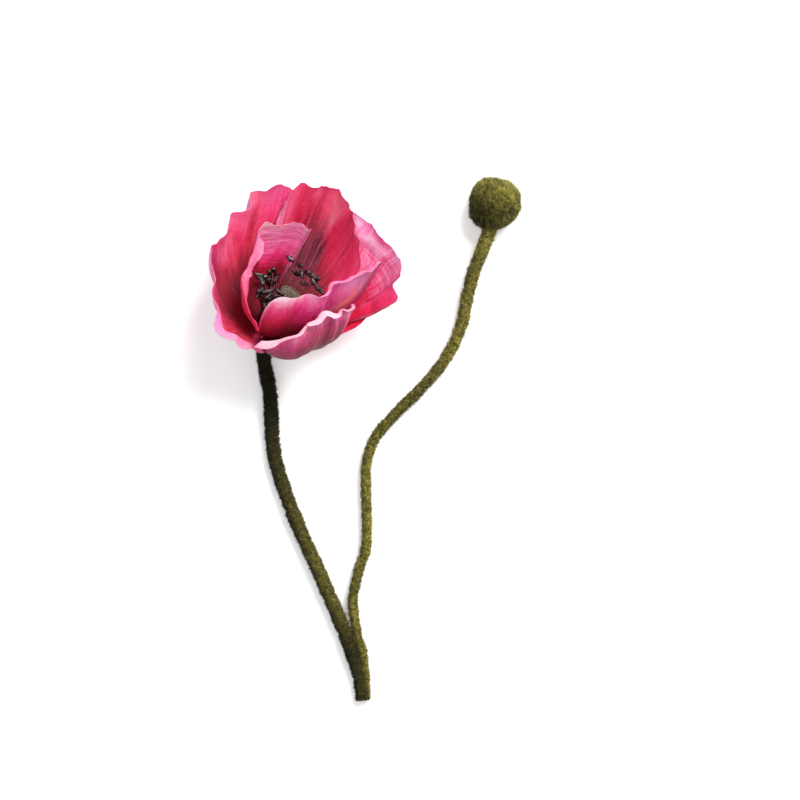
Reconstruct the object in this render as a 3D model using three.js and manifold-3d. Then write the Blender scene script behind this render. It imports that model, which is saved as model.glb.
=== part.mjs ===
// Fabric poppy: one open bloom and one round bud on a forked stem, lying on a surface.
// Millimetres, +Z up, the stem running along Y, the origin under the middle of the whole flower.
import * as THREE from 'three';
import Module from 'manifold-3d';
import { mergeVertices } from 'three/addons/utils/BufferGeometryUtils.js';

// ---- driving dimensions ----------------------------------------------------------------

const SEAT_GAP = 0.3;              // air between two pieces that rest on one another
const PETAL_THICKNESS = 0.7;
const PETAL_ROOT_RADIUS = 3.9;     // the petals start on this ring round the receptacle
const MIDDLE_SHIFT = [-2.8, -119.65]; // from the stem's cut end to the middle of the flower

// The bloom's own frame: where its petals meet, and how far its mouth is tipped from upright.
const BLOOM_BASE = new THREE.Vector3(-42.4, 171.6, 14.6);
const BLOOM_HEADING = 61.4;        // degrees from +X, the way the mouth leans over the surface
const BLOOM_TILT = 45;             // degrees between the bloom's axis and the surface

const MAIN_STEM_RADIUS = 3.1;
const BUD_STEM_RADII = [2.0, 2.1, 2.2, 2.4, 2.7, 3.0];

const BUD_RADIUS = 11.4;
const BUD_CENTRE = new THREE.Vector3(61.2, 228, 10.4);
const BUD_HEADING = 83;            // degrees from +X, from the bud's neck to its tip

const CAPSULE_LEAN = [57, 5.5];    // azimuth in degrees, and how far the top is off the axis
const ANTHER_PROFILE = [[0.5, -0.6], [1.05, 0.7], [0.5, 2.4]];

const STAMEN_COUNT = 28;
const STAMEN_SEED = 11;
const STAMEN_FOOT = [5.4, 5.6];    // radius and height of the filaments' roots
const STAMEN_RING = [[5.9, 4.6], [6.3, 5.4], [5.9, 6.4]];
const FILAMENT_RADIUS = 0.42;

// Centreline of the main stem, from its cut end to the receptacle that carries the petals.
const MAIN_STEM_PATH = [
  [0.5, 0.3, 3.0], [-0.4, 8, 3.2], [-2.4, 16, 3.8], [-6.4, 27.5, 4.3], [-10.7, 38.5, 4.3],
  [-20.3, 60.8, 4.2], [-28.4, 78.4, 4.2], [-36.6, 100, 4.2], [-40.2, 113, 4.2],
  [-41.3, 125, 4.2], [-42.1, 140.8, 4.3], [-44.2, 152, 4.7], [-45.0, 160, 6.6],
  [-44.2, 166.4, 9.8], [-42.4, 171.6, 14.6], [-41.4, 173.5, 16.8],
];

// Centreline of the bud's stem, from the fork to the inside of the bud's neck.
const BUD_STEM_PATH = [
  [-0.2, 17.5, 4.0], [0.5, 22, 4.2], [-1.3, 27.5, 4.2], [-3.5, 38.5, 4.2], [-4.2, 44, 4.2],
  [-3.7, 50, 4.2], [-1.1, 60.8, 4.2], [1.6, 69, 4.2], [2.4, 80, 4.2], [1.9, 96.7, 4.2],
  [2.2, 109, 4.2], [5.6, 119.7, 4.2], [14.3, 130.7, 4.2], [25.5, 141.7, 4.2],
  [35.4, 152.7, 4.2], [42.2, 163.7, 4.4], [46.3, 174.7, 4.8], [48.4, 185.6, 5.4],
  [51.3, 196.6, 6.6], [55.4, 207.4, 8.2], [58.5, 216, 9.8], [60, 220, 10.4],
];

// Each petal is a fan of ribs that rise from the receptacle to its edge.
//   centre, spread: azimuth of the root's middle and its width, degrees round the bloom's axis
//   lift:           height of the root above the bloom's base, so that the layers stack
//   curl:           angle through which the ribs bend, degrees, evenly spaced across the petal
//   edge:           [azimuth, radius, height] of the rib ends, from one side to the other
//   ruffle:         [amplitude, waves across, phase] of the waved edge
const PETALS = {
  petal_outer_left: {
    centre: 186, spread: 128, lift: 0.2, ruffle: [0.8, 9, 0.2],
    curl: [70, 78, 78, 76, 74, 68, 56, 40],
    edge: [
      [104, 46, 30], [110, 49.5, 37], [116, 49.5, 39], [124, 49.3, 40], [131, 47.6, 38],
      [139, 46.4, 35.5], [144, 42.6, 32], [152, 39.6, 31], [166, 35.6, 29], [180, 34.8, 29.5],
      [192, 38, 32.5], [202, 36.6, 32], [209, 34.2, 28], [219, 35.4, 27.5], [230, 36, 25],
      [242, 40.2, 22.5], [249, 41.4, 20], [255, 35, 15], [262, 30, 10.5], [269, 25.5, 6.4], [277, 21, 3.6],
    ],
  },
  petal_outer_right: {
    centre: 52, spread: 84, lift: 0.2, ruffle: [0.8, 7, 0.6],
    curl: [66, 76, 82, 84, 82, 68, 52, 44, 36],
    edge: [
      [98, 44, 26], [90, 47, 34], [82, 49, 40], [75, 49.6, 43], [70, 49.3, 41.5],
      [63, 49.5, 43], [53, 49.6, 44], [43, 49.6, 45], [32, 49, 47.5], [29.5, 47.8, 45],
      [30, 47, 40], [25, 47, 38], [17, 47.5, 39.5], [15.5, 47, 37], [22, 45, 29.5],
      [22, 41.5, 23], [17, 38.5, 18.5], [14, 33.5, 13.5], [6, 28.5, 9.2],
    ],
  },
  petal_outer_front: {
    centre: 308, spread: 95, lift: 1.3, ruffle: [0.7, 8, 0.1],
    curl: [56, 86, 114, 122, 116, 102, 82, 50],
    edge: [
      [272, 24, 8.5], [273.5, 27.5, 14], [277, 28.3, 19.5], [288, 31, 25], [298, 31.3, 29.5],
      [307, 30, 33], [316, 28.8, 36], [325, 28.5, 38.5], [334, 29.6, 39], [342, 30.4, 40],
      [351, 31.4, 41], [357, 31.8, 40], [1, 32, 34], [2, 31.6, 26], [0, 30, 18], [356, 27.5, 12],
    ],
  },
  petal_inner_back: {
    centre: 88, spread: 84, lift: 2.0, ruffle: [0.8, 8, 0.35],
    curl: [58, 76, 86, 88, 84, 76, 62],
    edge: [
      [121, 35, 19], [119.5, 41, 26], [117, 44.6, 32], [114.5, 46.8, 40], [111, 47.6, 45],
      [105, 47.6, 45.5], [100, 47.6, 46.5], [95.5, 47.6, 48], [91, 47.6, 48], [86, 47.6, 46.5],
      [81, 47.2, 43], [77, 47, 42], [73, 46, 37.5], [68, 45.6, 36.5], [63, 43.6, 32],
      [57, 43, 30], [52, 39, 23],
    ],
  },
  petal_inner_left: {
    centre: 168, spread: 110, lift: 3.1, ruffle: [0.6, 7, 0.0],
    curl: [40, 72, 84, 82, 76, 74, 64, 46],
    edge: [
      [107, 22, 12], [103, 25.5, 21], [98.5, 29, 29], [96, 31, 36], [103, 31.3, 38.5],
      [112, 31.3, 37.8], [121, 31, 36.5], [132, 31, 35.8], [140, 30.3, 34.5], [148, 27, 32],
      [160, 22, 30.5], [174, 21, 30], [190, 20.5, 29], [207, 20.2, 27], [223, 20.6, 24],
      [236, 18.2, 19], [247, 16.6, 14], [255, 15.5, 10.5],
    ],
  },
  petal_inner_front: {
    centre: 322, spread: 110, lift: 3.1, ruffle: [0.6, 9, 0.4],
    curl: [52, 92, 112, 116, 112, 104, 90, 56],
    edge: [
      [280, 16.5, 9], [270, 17.6, 17], [266, 21.5, 26], [264.5, 23.4, 34], [269, 21.3, 38.5],
      [287, 20.4, 43], [303, 19.2, 45.5], [322, 20, 47], [344, 19.8, 48.7], [7, 23, 49],
      [22, 29.5, 47], [34, 35, 46.5], [40, 39.5, 45], [38, 40, 38], [35, 36.4, 29],
      [31, 31, 19], [26, 24, 12],
    ],
  },
};

const COLOURS = {
  petal_outer_left: 0xc8285a,
  petal_outer_right: 0xd84a88,
  petal_outer_front: 0xe59abf,
  petal_inner_back: 0xc22a58,
  petal_inner_left: 0xd6609c,
  petal_inner_front: 0xc43a74,
  stem: 0x6b642a,
  bud: 0x6e6a30,
  stamens: 0x24121a,
  capsule: 0x3c342d,
};

// ---- small helpers ---------------------------------------------------------------------

const wasm = await Module();
wasm.setup();

const radians = THREE.MathUtils.degToRad;

/** Axes of the bloom: `side` and `back` span its mouth, `up` is its axis. */
const bloomAxes = (() => {
  const heading = radians(BLOOM_HEADING);
  const tilt = radians(BLOOM_TILT);
  const lean = new THREE.Vector3(Math.cos(heading), Math.sin(heading), 0);
  const up = lean.clone().multiplyScalar(Math.cos(tilt)).setZ(Math.sin(tilt));
  const side = new THREE.Vector3(lean.y, -lean.x, 0);
  const back = new THREE.Vector3().crossVectors(up, side);
  return { side, back, up };
})();

/** The point at an azimuth (radians), radius and height in the bloom's own frame. */
function bloomPoint(azimuth, radius, height) {
  return BLOOM_BASE.clone()
    .addScaledVector(bloomAxes.side, radius * Math.cos(azimuth))
    .addScaledVector(bloomAxes.back, radius * Math.sin(azimuth))
    .addScaledVector(bloomAxes.up, height);
}

/** A repeatable stream of numbers from 0 to 1. */
function randomStream(seed) {
  let state = seed;
  return () => {
    state = (state * 1664525 + 1013904223) % 4294967296;
    return state / 4294967296;
  };
}

/** A closed geometry from a list of points and of triangles. */
function geometryOf(points, triangles) {
  const geometry = new THREE.BufferGeometry();
  geometry.setAttribute('position', new THREE.Float32BufferAttribute(points.flatMap((p) => p.toArray()), 3));
  geometry.setIndex(triangles.flat());
  return geometry;
}

function toSolid(geometry) {
  const bare = geometry.clone();
  bare.deleteAttribute('normal');
  bare.deleteAttribute('uv');
  const merged = mergeVertices(bare, 1e-4);
  return new wasm.Manifold(new wasm.Mesh({
    numProp: 3,
    vertProperties: new Float32Array(merged.attributes.position.array),
    triVerts: new Uint32Array(merged.index.array),
  }));
}

function toGeometry(solid) {
  const mesh = solid.getMesh();
  const geometry = new THREE.BufferGeometry();
  geometry.setAttribute('position', new THREE.BufferAttribute(mesh.vertProperties, 3));
  geometry.setIndex(new THREE.BufferAttribute(mesh.triVerts, 1));
  return geometry;
}

/** What is left of a geometry when another one is cut out of it. */
function cutAway(geometry, cutter) {
  const pieces = toSolid(geometry).subtract(toSolid(cutter)).decompose();
  pieces.sort((a, b) => b.volume() - a.volume());
  return toGeometry(pieces[0]);
}

/** Flattens whatever would reach below the surface that the flower lies on. */
function settle(geometry, floor = 0) {
  const position = geometry.attributes.position;
  for (let i = 0; i < position.count; i += 1) {
    position.setZ(i, Math.max(position.getZ(i), floor));
  }
  return geometry;
}

/** Skins closed rings of points, each joined to the next, with a fan over either end. */
function skinRings(rings) {
  const sides = rings[0].length;
  const points = rings.flat();
  const triangles = [];
  for (let ring = 0; ring < rings.length - 1; ring += 1) {
    for (let k = 0; k < sides; k += 1) {
      const a = ring * sides + k;
      const b = ring * sides + ((k + 1) % sides);
      triangles.push([a, b, b + sides], [a, b + sides, a + sides]);
    }
  }
  const middleOf = (ring) => ring.reduce((sum, p) => sum.add(p), new THREE.Vector3()).divideScalar(sides);
  const first = points.length;
  points.push(middleOf(rings[0]), middleOf(rings[rings.length - 1]));
  const lastRing = (rings.length - 1) * sides;
  for (let k = 0; k < sides; k += 1) {
    const next = (k + 1) % sides;
    triangles.push([first, next, k], [first + 1, lastRing + k, lastRing + next]);
  }
  return geometryOf(points, triangles);
}

/** A tube along a smooth curve, with a radius for each step and a closed round end. */
function tube(curve, steps, sides, radiusAt) {
  const frames = curve.computeFrenetFrames(steps, false);
  const rings = [];
  for (let i = 0; i <= steps; i += 1) {
    const middle = curve.getPointAt(i / steps);
    const radius = radiusAt(i / steps);
    rings.push(Array.from({ length: sides }, (_, k) => {
      const turn = (2 * Math.PI * k) / sides;
      return middle.clone()
        .addScaledVector(frames.normals[i], radius * Math.cos(turn))
        .addScaledVector(frames.binormals[i], radius * Math.sin(turn));
    }));
  }
  return skinRings(rings);
}

/** A turned body: [radius, height] pairs along an axis, with a flute that varies the radius. */
function turned(base, axis, profile, sides, flute = () => 1) {
  const across = new THREE.Vector3(0, 0, 1).cross(axis).normalize();
  const other = new THREE.Vector3().crossVectors(axis, across);
  const rings = profile.map(([radius, height]) => Array.from({ length: sides }, (_, k) => {
    const turn = (2 * Math.PI * k) / sides;
    const reach = radius * flute(turn, height);
    return base.clone()
      .addScaledVector(axis, height)
      .addScaledVector(across, reach * Math.cos(turn))
      .addScaledVector(other, reach * Math.sin(turn));
  }));
  return skinRings(rings);
}

/** The value at t (0 to 1) on a smooth curve through evenly spaced values. */
function smoothThrough(values, t) {
  const span = Math.min(Math.floor(t * (values.length - 1)), values.length - 2);
  const f = t * (values.length - 1) - span;
  const at = (i) => values[THREE.MathUtils.clamp(i, 0, values.length - 1)];
  const [a, b, c, d] = [at(span - 1), at(span), at(span + 1), at(span + 2)];
  return b + 0.5 * f * (c - a + f * (2 * a - 5 * b + 4 * c - d + f * (3 * (b - c) + d - a)));
}

// ---- petals ----------------------------------------------------------------------------

const PETAL_STEPS_ALONG = 11;
const PETAL_STEPS_ACROSS = 24;

/** Azimuths in radians, unrolled so that each lies within half a turn of the one before. */
function unroll(degreesList, centre) {
  let last = centre;
  return degreesList.map((value) => {
    last = value + 360 * Math.round((last - value) / 360);
    return radians(last);
  });
}

/** A function of (along, across), both 0 to 1, that gives the middle surface of a petal. */
function petalSurface(petal) {
  const azimuths = unroll(petal.edge.map((rib) => rib[0]), petal.centre);
  const radii = petal.edge.map((rib) => rib[1]);
  const heights = petal.edge.map((rib) => rib[2]);
  const turnsUp = azimuths[azimuths.length - 1] > azimuths[0] ? 1 : -1;
  const [amplitude, waves, phase] = petal.ruffle;
  return (along, across) => {
    const edgeAzimuth = smoothThrough(azimuths, across);
    const edgeRadius = smoothThrough(radii, across);
    const edgeHeight = smoothThrough(heights, across);
    const curl = radians(smoothThrough(petal.curl, across));
    const rootAzimuth = radians(petal.centre + turnsUp * petal.spread * (across - 0.5));
    const opening = Math.sin(along * curl) / Math.sin(curl);
    const rise = (1 - Math.cos(along * curl)) / (1 - Math.cos(curl));
    const fan = Math.min(1, opening) ** 0.8;
    const azimuth = THREE.MathUtils.lerp(rootAzimuth, edgeAzimuth, fan);
    const radius = PETAL_ROOT_RADIUS + (edgeRadius - PETAL_ROOT_RADIUS) * opening;
    const height = petal.lift + (edgeHeight - petal.lift) * rise;
    const wave = amplitude * along ** 4 * Math.sin(2 * Math.PI * (waves * across + phase));
    return bloomPoint(azimuth, radius + wave, height);
  };
}

/** A closed blade of even thickness round a petal's middle surface. */
function petalBlade(petal, thickness) {
  const surface = petalSurface(petal);
  const columns = PETAL_STEPS_ACROSS + 1;
  const rows = PETAL_STEPS_ALONG + 1;
  const middle = [];
  for (let i = 0; i < rows; i += 1) {
    for (let j = 0; j < columns; j += 1) {
      middle.push(surface(i / PETAL_STEPS_ALONG, j / PETAL_STEPS_ACROSS));
    }
  }
  const at = (i, j) => middle[
    THREE.MathUtils.clamp(i, 0, rows - 1) * columns + THREE.MathUtils.clamp(j, 0, columns - 1)];
  const inner = [];
  const outer = [];
  for (let i = 0; i < rows; i += 1) {
    for (let j = 0; j < columns; j += 1) {
      const along = at(i + 1, j).clone().sub(at(i - 1, j));
      const across = at(i, j + 1).clone().sub(at(i, j - 1));
      const normal = new THREE.Vector3().crossVectors(along, across).normalize();
      inner.push(at(i, j).clone().addScaledVector(normal, thickness / 2));
      outer.push(at(i, j).clone().addScaledVector(normal, -thickness / 2));
    }
  }
  inner.forEach((p) => p.setZ(Math.max(p.z, thickness)));
  outer.forEach((p) => p.setZ(Math.max(p.z, 0)));
  const points = inner.concat(outer);
  const shift = inner.length;
  const triangles = [];
  const wall = (a, b) => triangles.push([a, b, b + shift], [a, b + shift, a + shift]);
  for (let i = 0; i < rows - 1; i += 1) {
    for (let j = 0; j < columns - 1; j += 1) {
      const a = i * columns + j;
      const [b, c, d] = [a + 1, a + columns + 1, a + columns];
      triangles.push([a, c, b], [a, d, c]);
      triangles.push([a + shift, b + shift, c + shift], [a + shift, c + shift, d + shift]);
    }
  }
  for (let j = 0; j < columns - 1; j += 1) {
    wall(j, j + 1);
    wall((rows - 1) * columns + j + 1, (rows - 1) * columns + j);
  }
  for (let i = 0; i < rows - 1; i += 1) {
    wall((i + 1) * columns, i * columns);
    wall(i * columns + columns - 1, (i + 1) * columns + columns - 1);
  }
  return geometryOf(points, triangles);
}

// ---- bloom -----------------------------------------------------------------------------

/** The main stem; `extra` widens it all round. */
function mainStem(extra = 0) {
  const curve = new THREE.CatmullRomCurve3(MAIN_STEM_PATH.map((p) => new THREE.Vector3(...p)), false, 'centripetal');
  return tube(curve, 54, 12, () => MAIN_STEM_RADIUS + extra);
}

function budStem() {
  const curve = new THREE.CatmullRomCurve3(BUD_STEM_PATH.map((p) => new THREE.Vector3(...p)), false, 'centripetal');
  return tube(curve, 64, 9, (t) => smoothThrough(BUD_STEM_RADII, t));
}

/** The bud; `extra` widens it all round. */
function bud(extra = 0) {
  const heading = radians(BUD_HEADING);
  const axis = new THREE.Vector3(Math.cos(heading), Math.sin(heading), 0);
  const profile = [];
  for (let i = 0; i <= 14; i += 1) {
    const turn = 0.08 + (Math.PI - 0.16) * (i / 14);
    profile.push([(BUD_RADIUS + extra) * Math.sin(turn), -(BUD_RADIUS + extra) * Math.cos(turn)]);
  }
  const lobes = (turn) => 1 + 0.025 * Math.cos(2 * turn) + 0.012 * Math.cos(3 * turn + 1);
  return turned(BUD_CENTRE, axis, profile, 22, lobes);
}

const CAPSULE_PROFILE = [
  [2.7, 4.1], [3.0, 6], [3.7, 9.5], [4.9, 14], [5.2, 18.4], [4.8, 19.3], [5.4, 20.2], [5.0, 21.2],
  [3.2, 22.1], [1.2, 22.6],
];

/** The capsule stands on the receptacle and leans to the back; `extra` widens it. */
function seedCapsule(extra = 0) {
  const axis = bloomPoint(radians(CAPSULE_LEAN[0]), CAPSULE_LEAN[1], 22).sub(BLOOM_BASE).normalize();
  const flute = (turn, height) => 1 + (height > 8 ? 0.07 : 0) * Math.cos(10 * turn);
  const profile = CAPSULE_PROFILE.map(([radius, height]) => [radius + extra, height]);
  return turned(BLOOM_BASE, axis, profile, 30, flute);
}

/** How far the anthers stand out at an azimuth: widest at the back, narrow at the front. */
function stamenReach(azimuth) {
  return 13 + 5.5 * Math.sin(azimuth);
}

function stamens() {
  const random = randomStream(STAMEN_SEED);
  let solid = toSolid(turned(BLOOM_BASE, bloomAxes.up, STAMEN_RING, 24));
  for (let k = 0; k < STAMEN_COUNT; k += 1) {
    const azimuth = (2 * Math.PI * (k + 0.4 * random())) / STAMEN_COUNT;
    const reach = stamenReach(azimuth) * (0.8 + 0.4 * random());
    const height = 15 + 9 * random();
    const foot = bloomPoint(azimuth, STAMEN_FOOT[0], STAMEN_FOOT[1]);
    const knee = bloomPoint(azimuth, 0.45 * STAMEN_FOOT[0] + 0.55 * reach, 0.6 * STAMEN_FOOT[1] + 0.4 * height);
    const tip = bloomPoint(azimuth + 0.12 * (random() - 0.5), reach, height);
    const filament = new THREE.QuadraticBezierCurve3(foot, knee, tip);
    solid = solid.add(toSolid(tube(filament, 2, 4, () => FILAMENT_RADIUS)));
    const lean = tip.clone().sub(knee).normalize();
    solid = solid.add(toSolid(turned(tip, lean, ANTHER_PROFILE, 5)));
  }
  return toGeometry(solid.subtract(toSolid(seedCapsule(SEAT_GAP))));
}

// ---- the flower ------------------------------------------------------------------------

function addPiece(group, name, geometry, colour, roughness) {
  const material = new THREE.MeshStandardMaterial({ color: colour, roughness, metalness: 0 });
  const mesh = new THREE.Mesh(geometry, material);
  mesh.name = name;
  mesh.position.set(MIDDLE_SHIFT[0], MIDDLE_SHIFT[1], 0);
  group.add(mesh);
}

const group = new THREE.Group();
addPiece(group, 'main_stem', settle(mainStem()), COLOURS.stem, 0.95);
const clearOfMainStem = cutAway(budStem(), mainStem(SEAT_GAP));
addPiece(group, 'bud_stem', cutAway(clearOfMainStem, bud(SEAT_GAP)), COLOURS.stem, 0.95);
addPiece(group, 'bud', settle(bud()), COLOURS.bud, 0.95);
addPiece(group, 'seed_capsule', seedCapsule(), COLOURS.capsule, 0.7);
addPiece(group, 'stamens', stamens(), COLOURS.stamens, 0.4);
for (const [name, petal] of Object.entries(PETALS)) {
  addPiece(group, name, petalBlade(petal, PETAL_THICKNESS), COLOURS[name], 0.6);
}

export default group;
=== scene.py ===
"""A fabric poppy: one open bloom and one round bud on a forked, flocked stem, lying on a pale surface.

Sizes are in millimetres from the stem's cut end until a mesh is made, which puts them in metres
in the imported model's frame. A petal's own coordinates are (along, across): from its root to its
rim, and from one side edge to the other, both 0 to 1.
"""

from __future__ import annotations

import logging
import math
from collections.abc import Sequence
from dataclasses import dataclass, field
from enum import Enum

import bpy
import numpy as np
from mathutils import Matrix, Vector


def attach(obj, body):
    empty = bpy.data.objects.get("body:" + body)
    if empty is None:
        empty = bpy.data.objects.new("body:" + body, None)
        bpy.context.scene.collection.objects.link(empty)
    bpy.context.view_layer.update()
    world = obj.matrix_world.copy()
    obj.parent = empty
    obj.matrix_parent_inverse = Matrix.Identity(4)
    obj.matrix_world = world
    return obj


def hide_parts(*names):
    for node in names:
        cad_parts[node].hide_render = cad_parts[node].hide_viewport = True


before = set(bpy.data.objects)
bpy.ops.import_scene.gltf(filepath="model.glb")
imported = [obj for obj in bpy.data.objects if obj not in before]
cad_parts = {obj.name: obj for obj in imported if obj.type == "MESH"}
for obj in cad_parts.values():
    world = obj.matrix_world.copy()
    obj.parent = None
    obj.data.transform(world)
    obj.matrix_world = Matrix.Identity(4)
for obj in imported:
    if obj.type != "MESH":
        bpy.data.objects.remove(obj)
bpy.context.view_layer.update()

LOG = logging.getLogger("poppy")

Array = np.ndarray
Colour = tuple[int, int, int]
Socket = bpy.types.NodeSocket

MM = 0.001
MIDDLE_SHIFT = np.array([-2.8, -119.65, 0.0])
FULL_TURN = 2 * math.pi
LATTICE = 128  # random values along each side of a pattern, after which it repeats
SURFACE_TURN = 6.3  # radians round a stem for one unit of its surface coordinate
NEUTRAL = 0.3  # the free number of a dye under flock


# ---- numbers ---------------------------------------------------------------------------------


def smooth_through(values: Sequence[float] | Array, t: Array) -> Array:
    """Values on a smooth curve through evenly spaced ones.

    Args:
        values: The values at even steps from t = 0 to t = 1.
        t: Where to read the curve, 0 to 1.

    Returns:
        The curve's value at every t.
    """
    given = np.asarray(values, float)
    last = len(given) - 1
    span = np.clip(np.floor(t * last).astype(int), 0, last - 1)
    f = t * last - span
    a, b, c, d = (given[np.clip(span + k, 0, last)] for k in (-1, 0, 1, 2))
    return b + 0.5 * f * (c - a + f * (2 * a - 5 * b + 4 * c - d + f * (3 * (b - c) + d - a)))


def smooth_step(low: float, high: float, x: Array) -> Array:
    """A soft step from 0 at `low` to 1 at `high`."""
    t = np.clip((x - low) / (high - low), 0.0, 1.0)
    return t * t * (3 - 2 * t)


def hill(x: Array, centre: float, width: float) -> Array:
    """A bell curve of height 1 at `centre`."""
    return np.exp(-(((x - centre) / width) ** 2))


def patchy(x: Array, y: Array, seed: int) -> Array:
    """Smooth random values, about one bump per unit of x and of y.

    Args:
        x: First coordinate.
        y: Second coordinate, of the same shape.
        seed: Which pattern.

    Returns:
        Values from -1 to 1.
    """
    lattice = np.random.default_rng(seed).uniform(-1, 1, (LATTICE, LATTICE))
    ix, iy = np.floor(x).astype(int), np.floor(y).astype(int)
    fx, fy = x - ix, y - iy
    fx, fy = fx * fx * (3 - 2 * fx), fy * fy * (3 - 2 * fy)

    def at(a: int, b: int) -> Array:
        """The lattice's values at a corner of each cell."""
        return lattice[(ix + a) % LATTICE, (iy + b) % LATTICE]

    low = at(0, 0) * (1 - fx) + at(1, 0) * fx
    high = at(0, 1) * (1 - fx) + at(1, 1) * fx
    return low * (1 - fy) + high * fy


def rough(x: Array, y: Array, seed: int, octaves: int = 3) -> Array:
    """Random values with finer detail added at each octave, about -1 to 1."""
    return sum(patchy(x * 2**k, y * 2**k, seed + k) / 2**k for k in range(octaves)) / 1.5


def unit(vectors: Array) -> Array:
    """Vectors brought to length 1."""
    return vectors / np.maximum(np.linalg.norm(vectors, axis=-1, keepdims=True), 1e-12)


def level_way(heading: float) -> Array:
    """The level direction of a heading in degrees."""
    return np.array([math.cos(math.radians(heading)), math.sin(math.radians(heading)), 0.0])


def square_to(axis: Array) -> tuple[Array, Array]:
    """A level direction square to an axis, and the one that is square to both."""
    across = unit(np.cross([0.0, 0.0, 1.0], axis))
    return across, np.cross(axis, across)


def around(first: Array, second: Array, radius: Array | float, turn: Array) -> Array:
    """Offsets at a radius and a turn from one direction towards another."""
    return first * (radius * np.cos(turn))[..., None] + second * (radius * np.sin(turn))[..., None]


def linear(colour: Sequence[float]) -> Array:
    """A display colour, 0 to 255, as scene-linear values."""
    c = np.asarray(colour, float) / 255
    return np.where(c <= 0.04045, c / 12.92, ((c + 0.055) / 1.055) ** 2.4)


# ---- meshes ----------------------------------------------------------------------------------


def put(name: str, data: bpy.types.ID) -> bpy.types.Object:
    """Places a new object in the scene.

    Args:
        name: Its name.
        data: Its mesh, lamp or camera.

    Returns:
        The object.
    """
    made = bpy.data.objects.new(name, data)
    bpy.context.scene.collection.objects.link(made)
    return made


@dataclass
class MeshDraft:
    """Closed shells of one piece, gathered before its mesh is made.

    `shells` holds points, surface coordinates and dyes of each, `faces` their corners and slots.
    """

    name: str
    shells: list[tuple[Array, Array, Array]] = field(default_factory=list)
    faces: list[tuple[Array, int]] = field(default_factory=list)
    count: int = 0

    def add(
        self, points: Array, faces: Array, slot: int, surface: Array, dye: Array, ends: Array | None = None
    ) -> None:
        """Adds a closed shell.

        Args:
            points: (n, 3) places in millimetres.
            faces: (m, 3) or (m, 4) point numbers, counted from this shell's first point.
            slot: Material slot of the faces.
            surface: (n, 2) surface coordinates.
            dye: (n, 4) linear red, green and blue, painted shade and highlights included, and a free number.
            ends: (k, 3) triangles that close its ends, if the faces leave them open.
        """
        for part in (faces,) if ends is None else (faces, ends):
            self.faces.append((part + self.count, slot))
        self.shells.append((points, surface, dye))
        self.count += len(points)

    def build(self, materials: Sequence[bpy.types.Material]) -> bpy.types.Object:
        """Makes the piece's object.

        Args:
            materials: One for each material slot that the faces name.

        Returns:
            The object, at the origin, with its place in its mesh.
        """
        points, surface, dyes = (np.concatenate(column) for column in zip(*self.shells))
        points = (points + MIDDLE_SHIFT) * MM
        corners = np.concatenate([part.ravel() for part, _ in self.faces]).astype(np.int32)
        sizes = np.concatenate([np.full(len(part), part.shape[1]) for part, _ in self.faces])
        slots = np.concatenate([np.full(len(part), slot) for part, slot in self.faces])
        mesh = bpy.data.meshes.new(self.name)
        mesh.vertices.add(len(points))
        mesh.loops.add(len(corners))
        mesh.polygons.add(len(sizes))
        mesh.vertices.foreach_set("co", points.astype(np.float32).ravel())
        mesh.loops.foreach_set("vertex_index", corners)
        starts = np.concatenate([[0], np.cumsum(sizes)[:-1]]).astype(np.int32)
        mesh.polygons.foreach_set("loop_start", starts)
        mesh.polygons.foreach_set("material_index", slots.astype(np.int32))
        mesh.polygons.foreach_set("use_smooth", np.ones(len(sizes), bool))
        mesh.update(calc_edges=True)
        uv = mesh.uv_layers.new(name="Surface")
        uv.data.foreach_set("uv", surface.astype(np.float32)[corners].ravel())
        dye = mesh.attributes.new("dye", "FLOAT_COLOR", "POINT")
        dye.data.foreach_set("color", dyes.astype(np.float32).ravel())
        mesh.validate()
        for material in materials:
            mesh.materials.append(material)
        return put(self.name, mesh)


def grid_faces(rows: int, columns: int, ring: bool = False) -> Array:
    """Quads of a grid of points.

    Args:
        rows: Rows of points.
        columns: Points in a row.
        ring: Whether each row closes on itself.

    Returns:
        (m, 4) point numbers.
    """
    i, j = np.meshgrid(np.arange(rows - 1), np.arange(columns if ring else columns - 1), indexing="ij")
    right = (j + 1) % columns
    a, b = i * columns + j, i * columns + right
    return np.stack([a, b, b + columns, a + columns], -1).reshape(-1, 4)


def ring_grid(low: float, high: float, rows: int, sides: int) -> tuple[Array, Array]:
    """Even steps along an axis by even turns round it.

    Args:
        low: The first step.
        high: The last step.
        rows: How many steps.
        sides: How many turns.

    Returns:
        The step and the turn in radians, each (rows, sides).
    """
    turns = np.linspace(0, FULL_TURN, sides, endpoint=False)
    steps, turned = np.meshgrid(np.linspace(low, high, rows), turns, indexing="ij")
    return steps, turned


def ring_surface(along: Array, turn: Array) -> Array:
    """Surface coordinates of skinned rings, with those of the two points that close them."""
    return np.concatenate([np.stack([along, turn / SURFACE_TURN], -1).reshape(-1, 2), [[0, 0], [1, 0]]])


def skin(rings: Array) -> tuple[Array, Array, Array]:
    """Skins closed rings, with a fan of triangles over either end.

    Args:
        rings: (rows, sides, 3) places.

    Returns:
        The points, the quads and the end triangles.
    """
    rows, sides = rings.shape[:2]
    points = np.concatenate([rings.reshape(-1, 3), [rings[0].mean(0)], [rings[-1].mean(0)]])
    k = np.arange(sides)
    after = (k + 1) % sides
    first, last = rows * sides, (rows - 1) * sides
    ends = np.concatenate([
        np.stack([np.full(sides, first), after, k], -1),
        np.stack([np.full(sides, first + 1), last + k, last + after], -1),
    ])
    return points, grid_faces(rows, sides, ring=True), ends


# ---- shader groups and finishes --------------------------------------------------------------


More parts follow.
